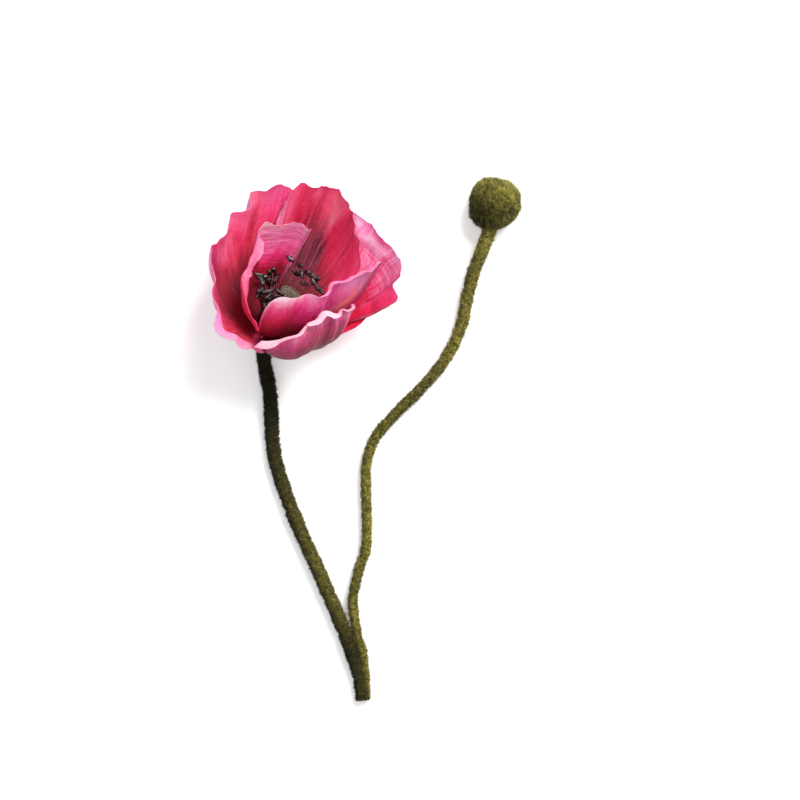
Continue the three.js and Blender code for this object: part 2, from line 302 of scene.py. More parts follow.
class Wiring:
    """Adds and joins nodes in one node tree."""

    def __init__(self, tree: bpy.types.NodeTree) -> None:
        """Keeps the tree."""
        self.tree = tree

    def fill(self, node: bpy.types.Node, **inputs: object) -> None:
        """Gives inputs of a node their values.

        Args:
            node: The node.
            **inputs: Values, or sockets to join, by the input's name with _ for a space, or by i
                and its number.
        """
        for key, value in inputs.items():
            numbered = key[0] == "i" and key[1:].isdigit()
            socket = node.inputs[int(key[1:]) if numbered else key.replace("_", " ")]
            if isinstance(value, Socket):
                self.tree.links.new(value, socket)
            else:
                socket.default_value = value

    def node(self, kind: str, settings: dict | None = None, **inputs: object) -> bpy.types.Node:
        """Adds a node.

        Args:
            kind: The node's type name, without the leading ShaderNode.
            settings: Properties of the node.
            **inputs: What `fill` gives it.

        Returns:
            The node.
        """
        made = self.tree.nodes.new("ShaderNode" + kind)
        for key, value in (settings or {}).items():
            setattr(made, key, value)
        self.fill(made, **inputs)
        return made

    def maths(self, operation: str, *values: object) -> Socket:
        """A Math node's result."""
        inputs = {f"i{k}": value for k, value in enumerate(values)}
        return self.node("Math", {"operation": operation}, **inputs).outputs[0]

    def times(self, a: object, b: object) -> Socket:
        """A product."""
        return self.maths("MULTIPLY", a, b)

    def ramp(self, value: Socket, low: float, high: float) -> Socket:
        """A value brought from low..high to 0..1."""
        made = self.node("MapRange", {"clamp": True}, Value=value, From_Min=low, From_Max=high)
        return made.outputs[0]

    def between(self, value: Socket, ends: tuple[float, float]) -> Socket:
        """A value brought from 0..1 to lie between two ends."""
        return self.maths("MULTIPLY_ADD", value, ends[1] - ends[0], ends[0])

    def mix(self, kind: str, factor: object, a: object, b: object) -> Socket:
        """Two colours mixed by a blend of this kind."""
        made = self.node("Mix", {"data_type": "RGBA", "blend_type": kind}, i0=factor, i6=a, i7=b)
        return made.outputs[2]

    def noise(
        self, place: Socket, scale: object, detail: float, flat: bool = False, **inputs: object
    ) -> Socket:
        """A noise texture's value.

        Args:
            place: Where it is read.
            scale: Its scale.
            detail: Its detail.
            flat: Whether it reads x and y only.
            **inputs: Other values of its inputs.

        Returns:
            The value's socket.
        """
        settings = {"noise_dimensions": "2D"} if flat else None
        made = self.node("TexNoise", settings, Vector=place, Scale=scale, Detail=detail, **inputs)
        return made.outputs["Fac"]

    def dye(self) -> bpy.types.Node:
        """The mesh's own dye, painted shade and highlights included, with its free number as the alpha."""
        return self.node("Attribute", {"attribute_name": "dye"})

    def here(self) -> Socket:
        """The place in the object."""
        return self.node("TexCoord").outputs["Object"]

    def bump(self, height: Socket, strength: float, distance: float) -> Socket:
        """A bumped normal."""
        return self.node("Bump", Height=height, Strength=strength, Distance=distance).outputs["Normal"]


class Effect(Enum):
    """Shader groups that more than one material uses."""

    SILK_GRAIN = "silk_grain"
    FLOCK_MOTTLE = "flock_mottle"
    WRINKLE = "wrinkle"


class EffectShop:
    """Builds each shader group once."""

    def __init__(self) -> None:
        """Starts with no group built."""
        self.made: dict[Effect, bpy.types.NodeTree] = {}

    def group(self, effect: Effect) -> bpy.types.NodeTree:
        """Hands out a group.

        Args:
            effect: Which one.

        Returns:
            Its node tree, built when it is first asked for.
        """
        if effect not in self.made:
            build = {
                Effect.SILK_GRAIN: self.silk_grain,
                Effect.FLOCK_MOTTLE: self.flock_mottle,
                Effect.WRINKLE: self.wrinkle,
            }[effect]
            self.made[effect] = build()
        return self.made[effect]

    def start(
        self, effect: Effect, source: str, inputs: dict[str, float], outputs: Sequence[str]
    ) -> tuple[Wiring, dict[str, Socket], bpy.types.Node]:
        """Makes an empty group with its sockets.

        Args:
            effect: Which group.
            source: Name of the input that says where it is read.
            inputs: Default of each of its other inputs, all plain values.
            outputs: Name of each output, all plain values.

        Returns:
            The wiring, the group's inputs by name, and its output node.
        """
        tree = bpy.data.node_groups.new(effect.value, "ShaderNodeTree")
        tree.interface.new_socket(source, in_out="INPUT", socket_type="NodeSocketVector")
        for name, default in inputs.items():
            socket = tree.interface.new_socket(name, in_out="INPUT", socket_type="NodeSocketFloat")
            socket.default_value = default
        for name in outputs:
            tree.interface.new_socket(name, in_out="OUTPUT", socket_type="NodeSocketFloat")
        given = {socket.name: socket for socket in tree.nodes.new("NodeGroupInput").outputs}
        return Wiring(tree), given, tree.nodes.new("NodeGroupOutput")

    def streaks(
        self, wires: Wiring, x: Socket, y: Socket, scale: Socket, stretch: float, detail: float
    ) -> Socket:
        """Noise drawn out from root to rim.

        Args:
            wires: The group's wiring.
            x: How far across the petal.
            y: How far along it.
            scale: How many streaks lie side by side.
            stretch: How often they change from root to rim.
            detail: Detail of the noise.

        Returns:
            The streaks, from 0 to 1.
        """
        place = wires.node("CombineXYZ", X=wires.times(x, scale), Y=wires.times(y, stretch)).outputs[0]
        return wires.ramp(wires.noise(place, 1.0, detail, flat=True, Roughness=0.6), 0.32, 0.68)

    def silk_grain(self) -> bpy.types.NodeTree:
        """Pressed silk: streaks that run from root to rim, fine crinkles across them, and threads.

        Returns:
            The group's node tree.
        """
        wires, given, result = self.start(
            Effect.SILK_GRAIN, "Surface", {"Streaks": 60, "Crinkles": 26, "Stretch": 1.9},
            ["Streak", "Fine Streak", "Crinkle", "Thread"],
        )
        parts = wires.node("SeparateXYZ", Vector=given["Surface"])
        x, y = parts.outputs["X"], parts.outputs["Y"]
        swayed = wires.maths("MULTIPLY_ADD", wires.noise(given["Surface"], 5.0, 1.0, flat=True), 0.05, x)
        broad, fine = given["Streaks"], wires.times(given["Streaks"], 3.4)
        crinkled = wires.node(
            "CombineXYZ", X=wires.times(x, given["Crinkles"]),
            Y=wires.times(y, wires.times(given["Crinkles"], given["Stretch"])),
        ).outputs[0]
        warp = wires.maths("SINE", wires.times(x, 1300.0))
        weft = wires.maths("SINE", wires.times(y, 1500.0))
        wires.fill(
            result,
            Streak=self.streaks(wires, swayed, y, broad, 2.2, 3.0),
            Fine_Streak=self.streaks(wires, swayed, y, fine, 5.0, 2.0),
            Crinkle=wires.ramp(wires.noise(crinkled, 1.0, 4.0, flat=True, Distortion=1.2), 0.3, 0.7),
            Thread=wires.maths("MULTIPLY_ADD", wires.times(warp, weft), 0.5, 0.5),
        )
        return wires.tree

    def flock_mottle(self) -> bpy.types.NodeTree:
        """Flock that lies thicker here and thinner there, with light and dark specks.

        Returns:
            The group's node tree.
        """
        wires, given, result = self.start(
            Effect.FLOCK_MOTTLE, "Place", {"Density": 900}, ["Mottle", "Speck", "Nap"]
        )
        place, density = given["Place"], given["Density"]
        wires.fill(
            result,
            Mottle=wires.ramp(wires.noise(place, wires.times(density, 0.3), 2.0), 0.35, 0.65),
            Speck=wires.ramp(wires.noise(place, density, 2.0), 0.36, 0.64),
            Nap=wires.noise(place, wires.times(density, 2.6), 3.0),
        )
        return wires.tree

    def wrinkle(self) -> bpy.types.NodeTree:
        """Small dents and dry creases of a moulded or wrapped surface.

        Returns:
            The group's node tree.
        """
        wires, given, result = self.start(Effect.WRINKLE, "Place", {"Size": 1200}, ["Dent", "Crease"])
        place, size = given["Place"], given["Size"]
        cell = wires.node(
            "TexVoronoi", {"feature": "DISTANCE_TO_EDGE"}, Vector=place, Scale=wires.times(size, 0.8)
        )
        wires.fill(
            result,
            Dent=wires.ramp(wires.noise(place, size, 4.0), 0.3, 0.7),
            Crease=wires.ramp(cell.outputs["Distance"], 0.0, 0.25),
        )
        return wires.tree


SHOP = EffectShop()


def begin_material(name: str) -> tuple[bpy.types.Material, Wiring, bpy.types.Node]:
    """Starts a node material.

    Args:
        name: The material's name.

    Returns:
        The material, its wiring and its Principled BSDF node.
    """
    material = bpy.data.materials.new(name)
    material.use_nodes = True
    return material, Wiring(material.node_tree), material.node_tree.nodes["Principled BSDF"]


def place_group(wires: Wiring, effect: Effect, **inputs: object) -> bpy.types.NodeOutputs:
    """The outputs of a shader group that is placed in a material with its own values."""
    return wires.node("Group", {"node_tree": SHOP.group(effect)}, **inputs).outputs


@dataclass(frozen=True)
class SilkFinish:
    """Dyed, pressed silk with painted sheen. The dye comes from the mesh; the streaks and crinkles from the
    grain.
    """

    name: str
    streaks: float = 60.0
    streak_depth: float = 0.30
    crinkles: float = 26.0
    stretch: float = 1.9
    crinkle_height: float = 0.35
    roughness: tuple[float, float] = (0.42, 0.62)
    sheen: float = 0.04
    glow: float = 0.28
    glow_radius: tuple[float, float, float] = (1.0, 0.25, 0.35)
    painted_sheen: Colour = (250, 150, 186)
    painted_sheen_on_crinkles: float = 0.15
    deep: tuple[float, float, float, float] = (0.62, 0.30, 0.38, 1.0)

    def material(self) -> bpy.types.Material:
        """Makes the material.

        Returns:
            A new material.
        """
        material, wires, shader = begin_material(self.name)
        dye = wires.dye().outputs
        surface = wires.node("UVMap", {"uv_map": "Surface"}).outputs[0]
        grain = place_group(
            wires, Effect.SILK_GRAIN, Surface=surface, Streaks=self.streaks, Crinkles=self.crinkles,
            Stretch=self.stretch,
        )
        crinkle, fine = grain["Crinkle"], grain["Fine Streak"]
        streak = wires.maths("MULTIPLY_ADD", fine, 0.4, wires.times(grain["Streak"], 0.6))
        worn = wires.maths("MULTIPLY_ADD", crinkle, 0.25, wires.times(streak, 0.75))
        deep = wires.mix("MULTIPLY", self.streak_depth, dye["Color"], self.deep)
        even = wires.mix("MIX", worn, deep, dye["Color"])
        # painted sheen: the pale sheen colour is mixed in along the streaks and crinkles, as far as the dye's
        # free number allows
        lit = wires.maths(
            "MULTIPLY_ADD", wires.ramp(crinkle, 0.45, 0.95), self.painted_sheen_on_crinkles,
            wires.times(wires.ramp(streak, 0.30, 1.0), 1 - self.painted_sheen_on_crinkles),
        )
        share = wires.times(lit, dye["Alpha"])
        threads = wires.maths("MULTIPLY_ADD", fine, 0.35, wires.times(grain["Thread"], 0.06))
        relief = wires.maths("ADD", wires.times(crinkle, self.crinkle_height), threads)
        wires.fill(
            shader,
            Base_Color=wires.mix("MIX", share, even, (*linear(self.painted_sheen), 1.0)),
            Roughness=wires.between(grain["Streak"], self.roughness),
            Normal=wires.bump(relief, 0.55, 0.0006),
            Sheen_Weight=self.sheen,
            Sheen_Roughness=0.4,
            Specular_IOR_Level=0.13,
            Subsurface_Weight=self.glow,
            Subsurface_Radius=self.glow_radius,
            Subsurface_Scale=0.0012,
        )
        return material


@dataclass(frozen=True)
class FlockFinish:
    """Olive flock: a fine nap of short fibres, light where it stands and dark between."""

    name: str
    dark: Colour = (34, 36, 12)
    light: Colour = (208, 196, 92)
    density: float = 900.0
    roughness: tuple[float, float] = (0.82, 0.97)

    def material(self) -> bpy.types.Material:
        """Makes the material.

        Returns:
            A new material.
        """
        material, wires, shader = begin_material(self.name)
        dye = wires.dye().outputs
        flock = place_group(wires, Effect.FLOCK_MOTTLE, Place=wires.here(), Density=self.density)
        lying = wires.maths("MULTIPLY_ADD", flock["Mottle"], 0.12, wires.times(dye["Alpha"], 0.66))
        tone = wires.maths("MULTIPLY_ADD", flock["Speck"], 0.22, lying)
        colour = wires.mix("MIX", tone, (*linear(self.dark), 1.0), (*linear(self.light), 1.0))
        wires.fill(
            shader,
            # the dye's colour carries the painted shade of the stems and the bud
            Base_Color=wires.mix("MULTIPLY", 1.0, colour, dye["Color"]),
            Roughness=wires.between(flock["Mottle"], self.roughness),
            Normal=wires.bump(flock["Nap"], 0.6, 0.0003),
            Specular_IOR_Level=0.1,
            Sheen_Weight=0.06,
            Sheen_Roughness=0.6,
        )
        return material


@dataclass(frozen=True)
class WrinkledFinish:
    """A dyed, moulded surface with small dents, such as an anther or the seed capsule."""

    name: str
    size: float
    roughness: tuple[float, float]
    relief: float
    lift: Colour = (120, 110, 90)
    lift_share: float = 0.3
    coat: float = 0.0

    def material(self) -> bpy.types.Material:
        """Makes the material.

        Returns:
            A new material.
        """
        material, wires, shader = begin_material(self.name)
        dye = wires.dye().outputs
        wrinkle = place_group(wires, Effect.WRINKLE, Place=wires.here(), Size=self.size)
        share = wires.times(wires.times(wrinkle["Dent"], dye["Alpha"]), self.lift_share)
        height = wires.maths("MULTIPLY_ADD", wrinkle["Crease"], 0.5, wrinkle["Dent"])
        wires.fill(
            shader,
            Base_Color=wires.mix("MIX", share, dye["Color"], (*linear(self.lift), 1.0)),
            Roughness=wires.between(wrinkle["Dent"], self.roughness),
            Normal=wires.bump(height, self.relief, 0.0003),
            Coat_Weight=self.coat,
            Coat_Roughness=0.15,
        )
        return material


class Slot(Enum):
    """The record's material slots."""

    PETAL_CRIMSON = "petal_crimson"
    PETAL_ROSE = "petal_rose"
    PETAL_PALE = "petal_pale"
    FLOCKED_STEM = "flocked_stem"
    FLOCKED_BUD = "flocked_bud"
    STAMEN_BLACK = "stamen_black"
    CAPSULE_DARK = "capsule_dark"


def declare(piece: bpy.types.Object, node: str, slot: Slot) -> bpy.types.Object:
    """Lets a piece ride on the one body and stand for its CAD node, whose part it hides, and logs its slot.

    Args:
        piece: The piece.
        node: The CAD node that it stands for.
        slot: The record's slot that it is finished as.

    Returns:
        The piece.
    """
    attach(piece, "root")
    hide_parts(node)
    LOG.info("%s: %d faces, finish %s", piece.name, len(piece.data.polygons), slot.value)
    return piece


# ---- the bloom's own frame -------------------------------------------------------------------


@dataclass(frozen=True)
class BloomFrame:
    """Where the petals meet, and the axes of the bloom's mouth."""

    base: tuple[float, float, float] = (-42.4, 171.6, 14.6)
    heading: float = 61.4
    tilt: float = 45.0

    def axes(self) -> tuple[Array, Array, Array]:
        """The bloom's own directions.

        Returns:
            The axes side, back and up.
        """
        lean, tilt = level_way(self.heading), math.radians(self.tilt)
        up = lean * math.cos(tilt) + np.array([0, 0, math.sin(tilt)])
        side = np.array([lean[1], -lean[0], 0.0])
        return side, np.cross(up, side), up

    def point(self, azimuth: Array, radius: Array, height: Array) -> Array:
        """Places in the bloom.

        Args:
            azimuth: Radians round the bloom's axis.
            radius: Distance from the axis.
            height: Distance up the axis from the base.

        Returns:
            (..., 3) places in millimetres.
        """
        side, back, up = self.axes()
        azimuth, radius, height = (np.asarray(v, float)[..., None] for v in (azimuth, radius, height))
        level = np.array(self.base) + side * radius * np.cos(azimuth) + back * radius * np.sin(azimuth)
        return level + up * height


BLOOM = BloomFrame()


# ---- petals ----------------------------------------------------------------------------------


@dataclass(frozen=True)
class MarginRoll:
    """A stretch of rim that is rolled over.

    `start` and `end` bound it across the petal, `width` is the rolled strip in millimetres, and
    `turn` is how far it bends, in degrees, towards the bloom's inside if positive.
    """

    start: float
    end: float
    width: float
    turn: float
    fade: float = 0.05

    def hold(self, across: Array) -> Array:
        """How far the rim is rolled at each place across, 0 to 1."""
        opening = smooth_step(self.start - self.fade, self.start + self.fade, across)
        return opening * (1 - smooth_step(self.end - self.fade, self.end + self.fade, across))


@dataclass(frozen=True)
class Fold:
    """A fold that runs along the ribs: `depth` millimetres towards the inside if positive.

    It lies between `low` and `high` along the petal, and `sway` is how far it drifts across.
    """

    across: float
    width: float
    depth: float
    low: float = 0.2
    high: float = 1.3
    sway: float = 0.0

    def push(self, along: Array, across: Array) -> Array:
        """The fold's height.

        Args:
            along: From root to rim.
            across: From side to side.

        Returns:
            How far it lifts the petal at each place.
        """
        middle = self.across + self.sway * (along - self.low)
        rise = smooth_step(self.low, self.low + 0.25, along)
        ends = rise * (1 - smooth_step(self.high - 0.2, self.high, along))
        return self.depth * ends * hill(across, middle, self.width)


@dataclass(frozen=True)
class Patch:
    """A soft patch of another dye; some patches are painted highlights and painted shade.

    Its middle is at `along` and `across`, it reaches `long` and `wide` from there, and it moves
    across by `drift` for each unit along. `painted_sheen` is how far the painted sheen shows on the streaks
    in it.
    """

    along: float
    across: float
    long: float
    wide: float
    colour: Colour
    strength: float = 0.8
    drift: float = 0.0
    painted_sheen: float = 0.3


@dataclass(frozen=True)
class Dye:
    """Dyes of one face of a petal, from root to rim, with its patches and how far its painted sheen shows."""

    stops: tuple[tuple[float, Colour], ...]
    patches: tuple[Patch, ...] = ()
    painted_sheen: float = 0.4

    def paint(self, along: Array, across: Array, seed: int) -> Array:
        """Dyes a face.

        Args:
            along: From root to rim, 0 to 1, more on a rolled margin.
            across: From side to side, 0 to 1.
            seed: Which streaks.

        Returns:
            (..., 4) linear colours, and how far the painted sheen shows on the streaks there.
        """
        ragged = along + 0.07 * rough(across * 24, along * 2.5, seed)
        ragged = ragged + 0.05 * rough(across * 6, along * 5, seed + 9)
        places = [stop[0] for stop in self.stops]
        colours = np.array([linear(stop[1]) for stop in self.stops])
        painted = np.stack([np.interp(ragged, places, colours[:, c]) for c in range(3)], -1)
        drifts = np.clip(0.5 + 1.2 * rough(across * 7 + 3, along * 3.5, seed + 31, 2), 0.05, 1.4)
        # painted sheen, strongest towards the rim
        painted_sheen = self.painted_sheen * smooth_step(0.45, 1.0, along) * drifts
        painted = np.concatenate([painted, painted_sheen[..., None]], -1)
        wander = 0.03 * rough(across * 12, along * 6, seed + 5)
        for patch in self.patches:
            middle = patch.across + patch.drift * (along - patch.along)
            aside = (across + wander - middle) / patch.wide
            reach = ((ragged - patch.along) / patch.long) ** 2 + aside**2
            share = (patch.strength * np.exp(-reach))[..., None]
            painted = painted * (1 - share) + np.array([*linear(patch.colour), patch.painted_sheen]) * share
        return painted


@dataclass
class Petal:
    """One silk petal: a fan of ribs from the receptacle to its rim.

    `centre` and `spread` say in degrees where its root sits round the receptacle, `lift` how high.
    `edge` gives azimuth, radius and height of the rim, `curl` the bend of the ribs in degrees and
    `rim` how far the rim reaches past `edge`, at even steps across. `ruffle` is height, number and
    phase of the rim's waves. `flutter` and what follows it say how crumpled the silk is.
    """

    name: str
    slot: Slot
    finish: SilkFinish
    centre: float
    spread: float
    lift: float
    ruffle: tuple[float, float, float]
    curl: tuple[float, ...]
    edge: tuple[tuple[float, float, float], ...]
    inner: Dye
    outer: Dye
    rolls: tuple[MarginRoll, ...]
    rim: tuple[float, ...]
    seed: int
    folds: tuple[Fold, ...] = ()
    flutter: float = 0.7
    crinkle: float = 0.10
    crinkle_beat: tuple[float, float] = (30.0, 34.0)
    scallop: float = 0.022
    scallop_beat: float = 22.0
    roll_variety: float = 1.0

    THICKNESS = 0.36
    THINNER_RIM = 0.45  # the share of its thickness that the silk loses at the rim
    ROWS, ROLL_ROWS, COLUMNS = 96, 14, 168
    ROW_CROWDING = 0.92  # below 1 the rows lie closer together towards the rim
    ROOT_RADIUS = 3.9
    PLAIN_LIP = (0.5, 12.0)  # width and turn in degrees of a rim that isn't rolled
    CREASE = 0.22
    OUTER_SHIFT = 0.37  # moves the outer face's grain away from the inner one's

    def turning(self) -> float:
        """1 if the azimuth grows across the petal, otherwise -1."""
        azimuths = self.unrolled()
        return 1.0 if azimuths[-1] > azimuths[0] else -1.0

    def unrolled(self) -> Array:
        """The rim's azimuths without jumps.

        Returns:
            Radians, each within half a turn of the one before.
        """
        last, out = self.centre, []
        for azimuth, _, _ in self.edge:
            last = azimuth + 360 * math.floor((last - azimuth) / 360 + 0.5)
            out.append(math.radians(last))
        return np.array(out)

    def middle(self, along: Array, across: Array) -> Array:
        """The petal's middle surface before its small folds.

        Args:
            along: From root to rim, 0 to 1.
            across: From side to side, 0 to 1.

        Returns:
            (..., 3) places.
        """
        edge_azimuth = smooth_through(self.unrolled(), across)
        edge_radius = smooth_through([rib[1] for rib in self.edge], across)
        edge_height = smooth_through([rib[2] for rib in self.edge], across)
        curl = np.radians(smooth_through(self.curl, across))
        root = np.radians(self.centre + self.turning() * self.spread * (across - 0.5))
        opening = np.sin(along * curl) / np.sin(curl)
        rise = (1 - np.cos(along * curl)) / (1 - np.cos(curl))
        fan = np.minimum(1, np.maximum(opening, 0)) ** 0.8
        azimuth = root + (edge_azimuth - root) * fan
        radius = self.ROOT_RADIUS + (edge_radius - self.ROOT_RADIUS) * opening
        height = self.lift + (edge_height - self.lift) * rise
        amplitude, waves, phase = self.ruffle
        wave = amplitude * along**4 * np.sin(FULL_TURN * (waves * across + phase))
        return BLOOM.point(azimuth, radius + wave, height)

    def normals(self, places: Array) -> Array:
        """Normals of a grid of places, towards the bloom's inside."""
        return unit(np.cross(np.gradient(places, axis=0), np.gradient(places, axis=1))) * self.turning()

    def roll_shape(self, across: Array) -> tuple[Array, Array]:
        """The shape of the rolled strip.

        Args:
            across: Places across the petal.

        Returns:
            The strip's width at each of them, and how far it turns, in radians.
        """
        width = np.full_like(across, self.PLAIN_LIP[0])
        turn = np.full_like(across, math.radians(self.PLAIN_LIP[1]))
        for roll in self.rolls:
            hold = roll.hold(across)
            width += (roll.width - width) * hold
            turn += (math.radians(roll.turn) - turn) * hold
        wide, bent = (
            1 + share * self.roll_variety * rough(across * beat, across * 0, self.seed + shift)
            for share, beat, shift in ((0.22, 14, 40), (0.12, 9, 41))
        )
        return width * wide, turn * bent

    def rolled(self, width: Array, turn: Array) -> tuple[Array, Array]:
        """The rolled strip's section: a tight bend, then a flatter lip.

        Args:
            width: Width of the strip at each place across.
            turn: How far it bends, in radians.

        Returns:
            How far each of its rows lies ahead of the bend, and to the inside of it.
        """
        fine = 8
        steps = self.ROLL_ROWS * fine
        angle = turn * smooth_step(0.0, 0.6, (np.arange(steps) + 0.5)[:, None] / steps)
        step = width / steps
        ahead, aside = np.cumsum(np.cos(angle) * step, 0), np.cumsum(np.sin(angle) * step, 0)
        return ahead[fine - 1 :: fine], aside[fine - 1 :: fine]

    def relief(self, along: Array, across: Array) -> Array:
        """Folds, flutter, creases and crinkles.

        Args:
            along: From root to rim.
            across: From side to side.

        Returns:
            Millimetres towards the bloom's inside.
        """
        push = np.zeros_like(along)
        for fold in self.folds:
            push += fold.push(along, across)
        rim = np.clip(along, 0, 1.15)
        for share, sharpness, beats, run, shift in ((1.0, 5, 12, 0.8, 0), (0.5, 9, 38, 2, 3)):
            waves = rough(across * beats, along * run, self.seed + shift, 2)
            push += share * self.flutter * rim**sharpness * waves
        ridges = 1 - 2 * np.abs(rough(across * 26, along * 1.4, self.seed + 7, 2))
        push += self.CREASE * (0.25 + 0.75 * rim) * ridges * smooth_step(0.04, 0.25, along)
        crinkles = rough(across * self.crinkle_beat[0], along * self.crinkle_beat[1], self.seed + 13, 3)
        push += self.crinkle * crinkles * smooth_step(0.25, 0.7, along)
        return push

    def draft(self) -> MeshDraft:
        """Builds the closed blade with its rolled margin.

        Returns:
            The piece's mesh, with its dyes and surface coordinates.
        """
        line = np.linspace(0, 1, self.COLUMNS)
        width, turn = self.roll_shape(line)
        ahead, aside = self.rolled(width, turn)
        near = self.middle(np.full_like(line, 0.99), line)
        far = self.middle(np.full_like(line, 1.0), line)
        rate = np.linalg.norm(far - near, axis=-1) / 0.01
        reach = np.maximum(ahead.max(0), 0)
        ragged = self.scallop * (0.5 + 0.5 * rough(line * self.scallop_beat, line * 0, self.seed + 21))
        top = 1 + (smooth_through(self.rim, line) - reach) / rate - ragged
        steps = np.linspace(0, 1, self.ROWS) ** self.ROW_CROWDING
        along = steps[:, None] * top[None, :]
        sheet = self.middle(along, np.broadcast_to(line, along.shape))
        tangent = unit(sheet[-1] - sheet[-2])
        normal = self.normals(sheet)[-1]
        strip = sheet[-1] + tangent * ahead[..., None] + normal * aside[..., None]
        sheet = np.concatenate([sheet, strip])
        rolled = (np.arange(1, self.ROLL_ROWS + 1) / self.ROLL_ROWS)[:, None]
        along = np.concatenate([along, top[None, :] + rolled * (width / rate)[None, :]])
        across = np.broadcast_to(line, along.shape)
        sheet = sheet + self.normals(sheet) * self.relief(along, across)[..., None]
        towards = self.normals(sheet)
        thin = self.THICKNESS * (1 - self.THINNER_RIM * smooth_step(0.9, 1.05, along))[..., None]
        inner, outer = sheet + towards * thin / 2, sheet - towards * thin / 2
        inner[..., 2] = np.maximum(inner[..., 2], self.THICKNESS)
        outer[..., 2] = np.maximum(outer[..., 2], 0.0)
        return self.blade(inner, outer, along, across)

    def blade(self, inner: Array, outer: Array, along: Array, across: Array) -> MeshDraft:
        """Joins the two faces of the petal round their border.

        Args:
            inner: The face towards the bloom's inside.
            outer: The other face.
            along: From root to rim at each point.
            across: From side to side at each point.

        Returns:
            The closed mesh.
        """
        rows, columns = along.shape
        quads, behind = grid_faces(rows, columns), rows * columns
        border = np.concatenate([
            np.arange(columns),
            np.arange(1, rows) * columns + columns - 1,
            (rows - 1) * columns + np.arange(columns - 2, -1, -1),
            np.arange(rows - 2, 0, -1) * columns,
        ])
        after = np.roll(border, -1)
        wall = np.stack([border, after, after + behind, border + behind], -1)
        if self.turning() > 0:
            faces = [quads[:, ::-1], quads + behind, wall]
        else:
            faces = [quads, quads[:, ::-1] + behind, wall[:, ::-1]]
        surface = np.stack([across, along], -1).reshape(-1, 2)
        dyes = [
            dye.paint(along, across, self.seed + shift).reshape(-1, 4)
            for dye, shift in ((self.inner, 60), (self.outer, 77))
        ]
        draft = MeshDraft(self.name + "_silk")
        draft.add(
            np.concatenate([inner.reshape(-1, 3), outer.reshape(-1, 3)]), np.concatenate(faces), 0,
            np.concatenate([surface, surface + [self.OUTER_SHIFT, 0.0]]), np.concatenate(dyes),
        )
        return draft

    def build(self) -> bpy.types.Object:
        return declare(self.draft().build([self.finish.material()]), self.name, self.slot)


CRIMSON_SILK = SilkFinish("silk_crimson")
ROSE_SILK = SilkFinish(
    "silk_rose", streaks=64, streak_depth=0.28, painted_sheen=(250, 176, 208), painted_sheen_on_crinkles=0.3
)
FAN_SILK = SilkFinish(
    "silk_fan", streaks=34, streak_depth=0.1, crinkles=7, stretch=3.2, crinkle_height=0.5,
    painted_sheen=(255, 206, 230), painted_sheen_on_crinkles=0.35, glow=0.5, glow_radius=(1.3, 0.7, 0.9),
)
PALE_SILK = SilkFinish("silk_pale", streaks=55, streak_depth=0.22, crinkle_height=0.3, painted_sheen=(244, 170, 200))
CRINKLED_SILK = SilkFinish(
    "silk_crinkled", streaks=50, streak_depth=0.15, crinkles=9, stretch=3.6, crinkle_height=0.5,
    painted_sheen=(252, 190, 204), painted_sheen_on_crinkles=0.8,
)

BACK_OF_PETAL = Dye((
    (0.0, (96, 26, 40)), (0.2, (120, 34, 54)), (0.45, (170, 52, 94)), (0.75, (205, 82, 134)),
    (1.0, (230, 130, 174)),
))


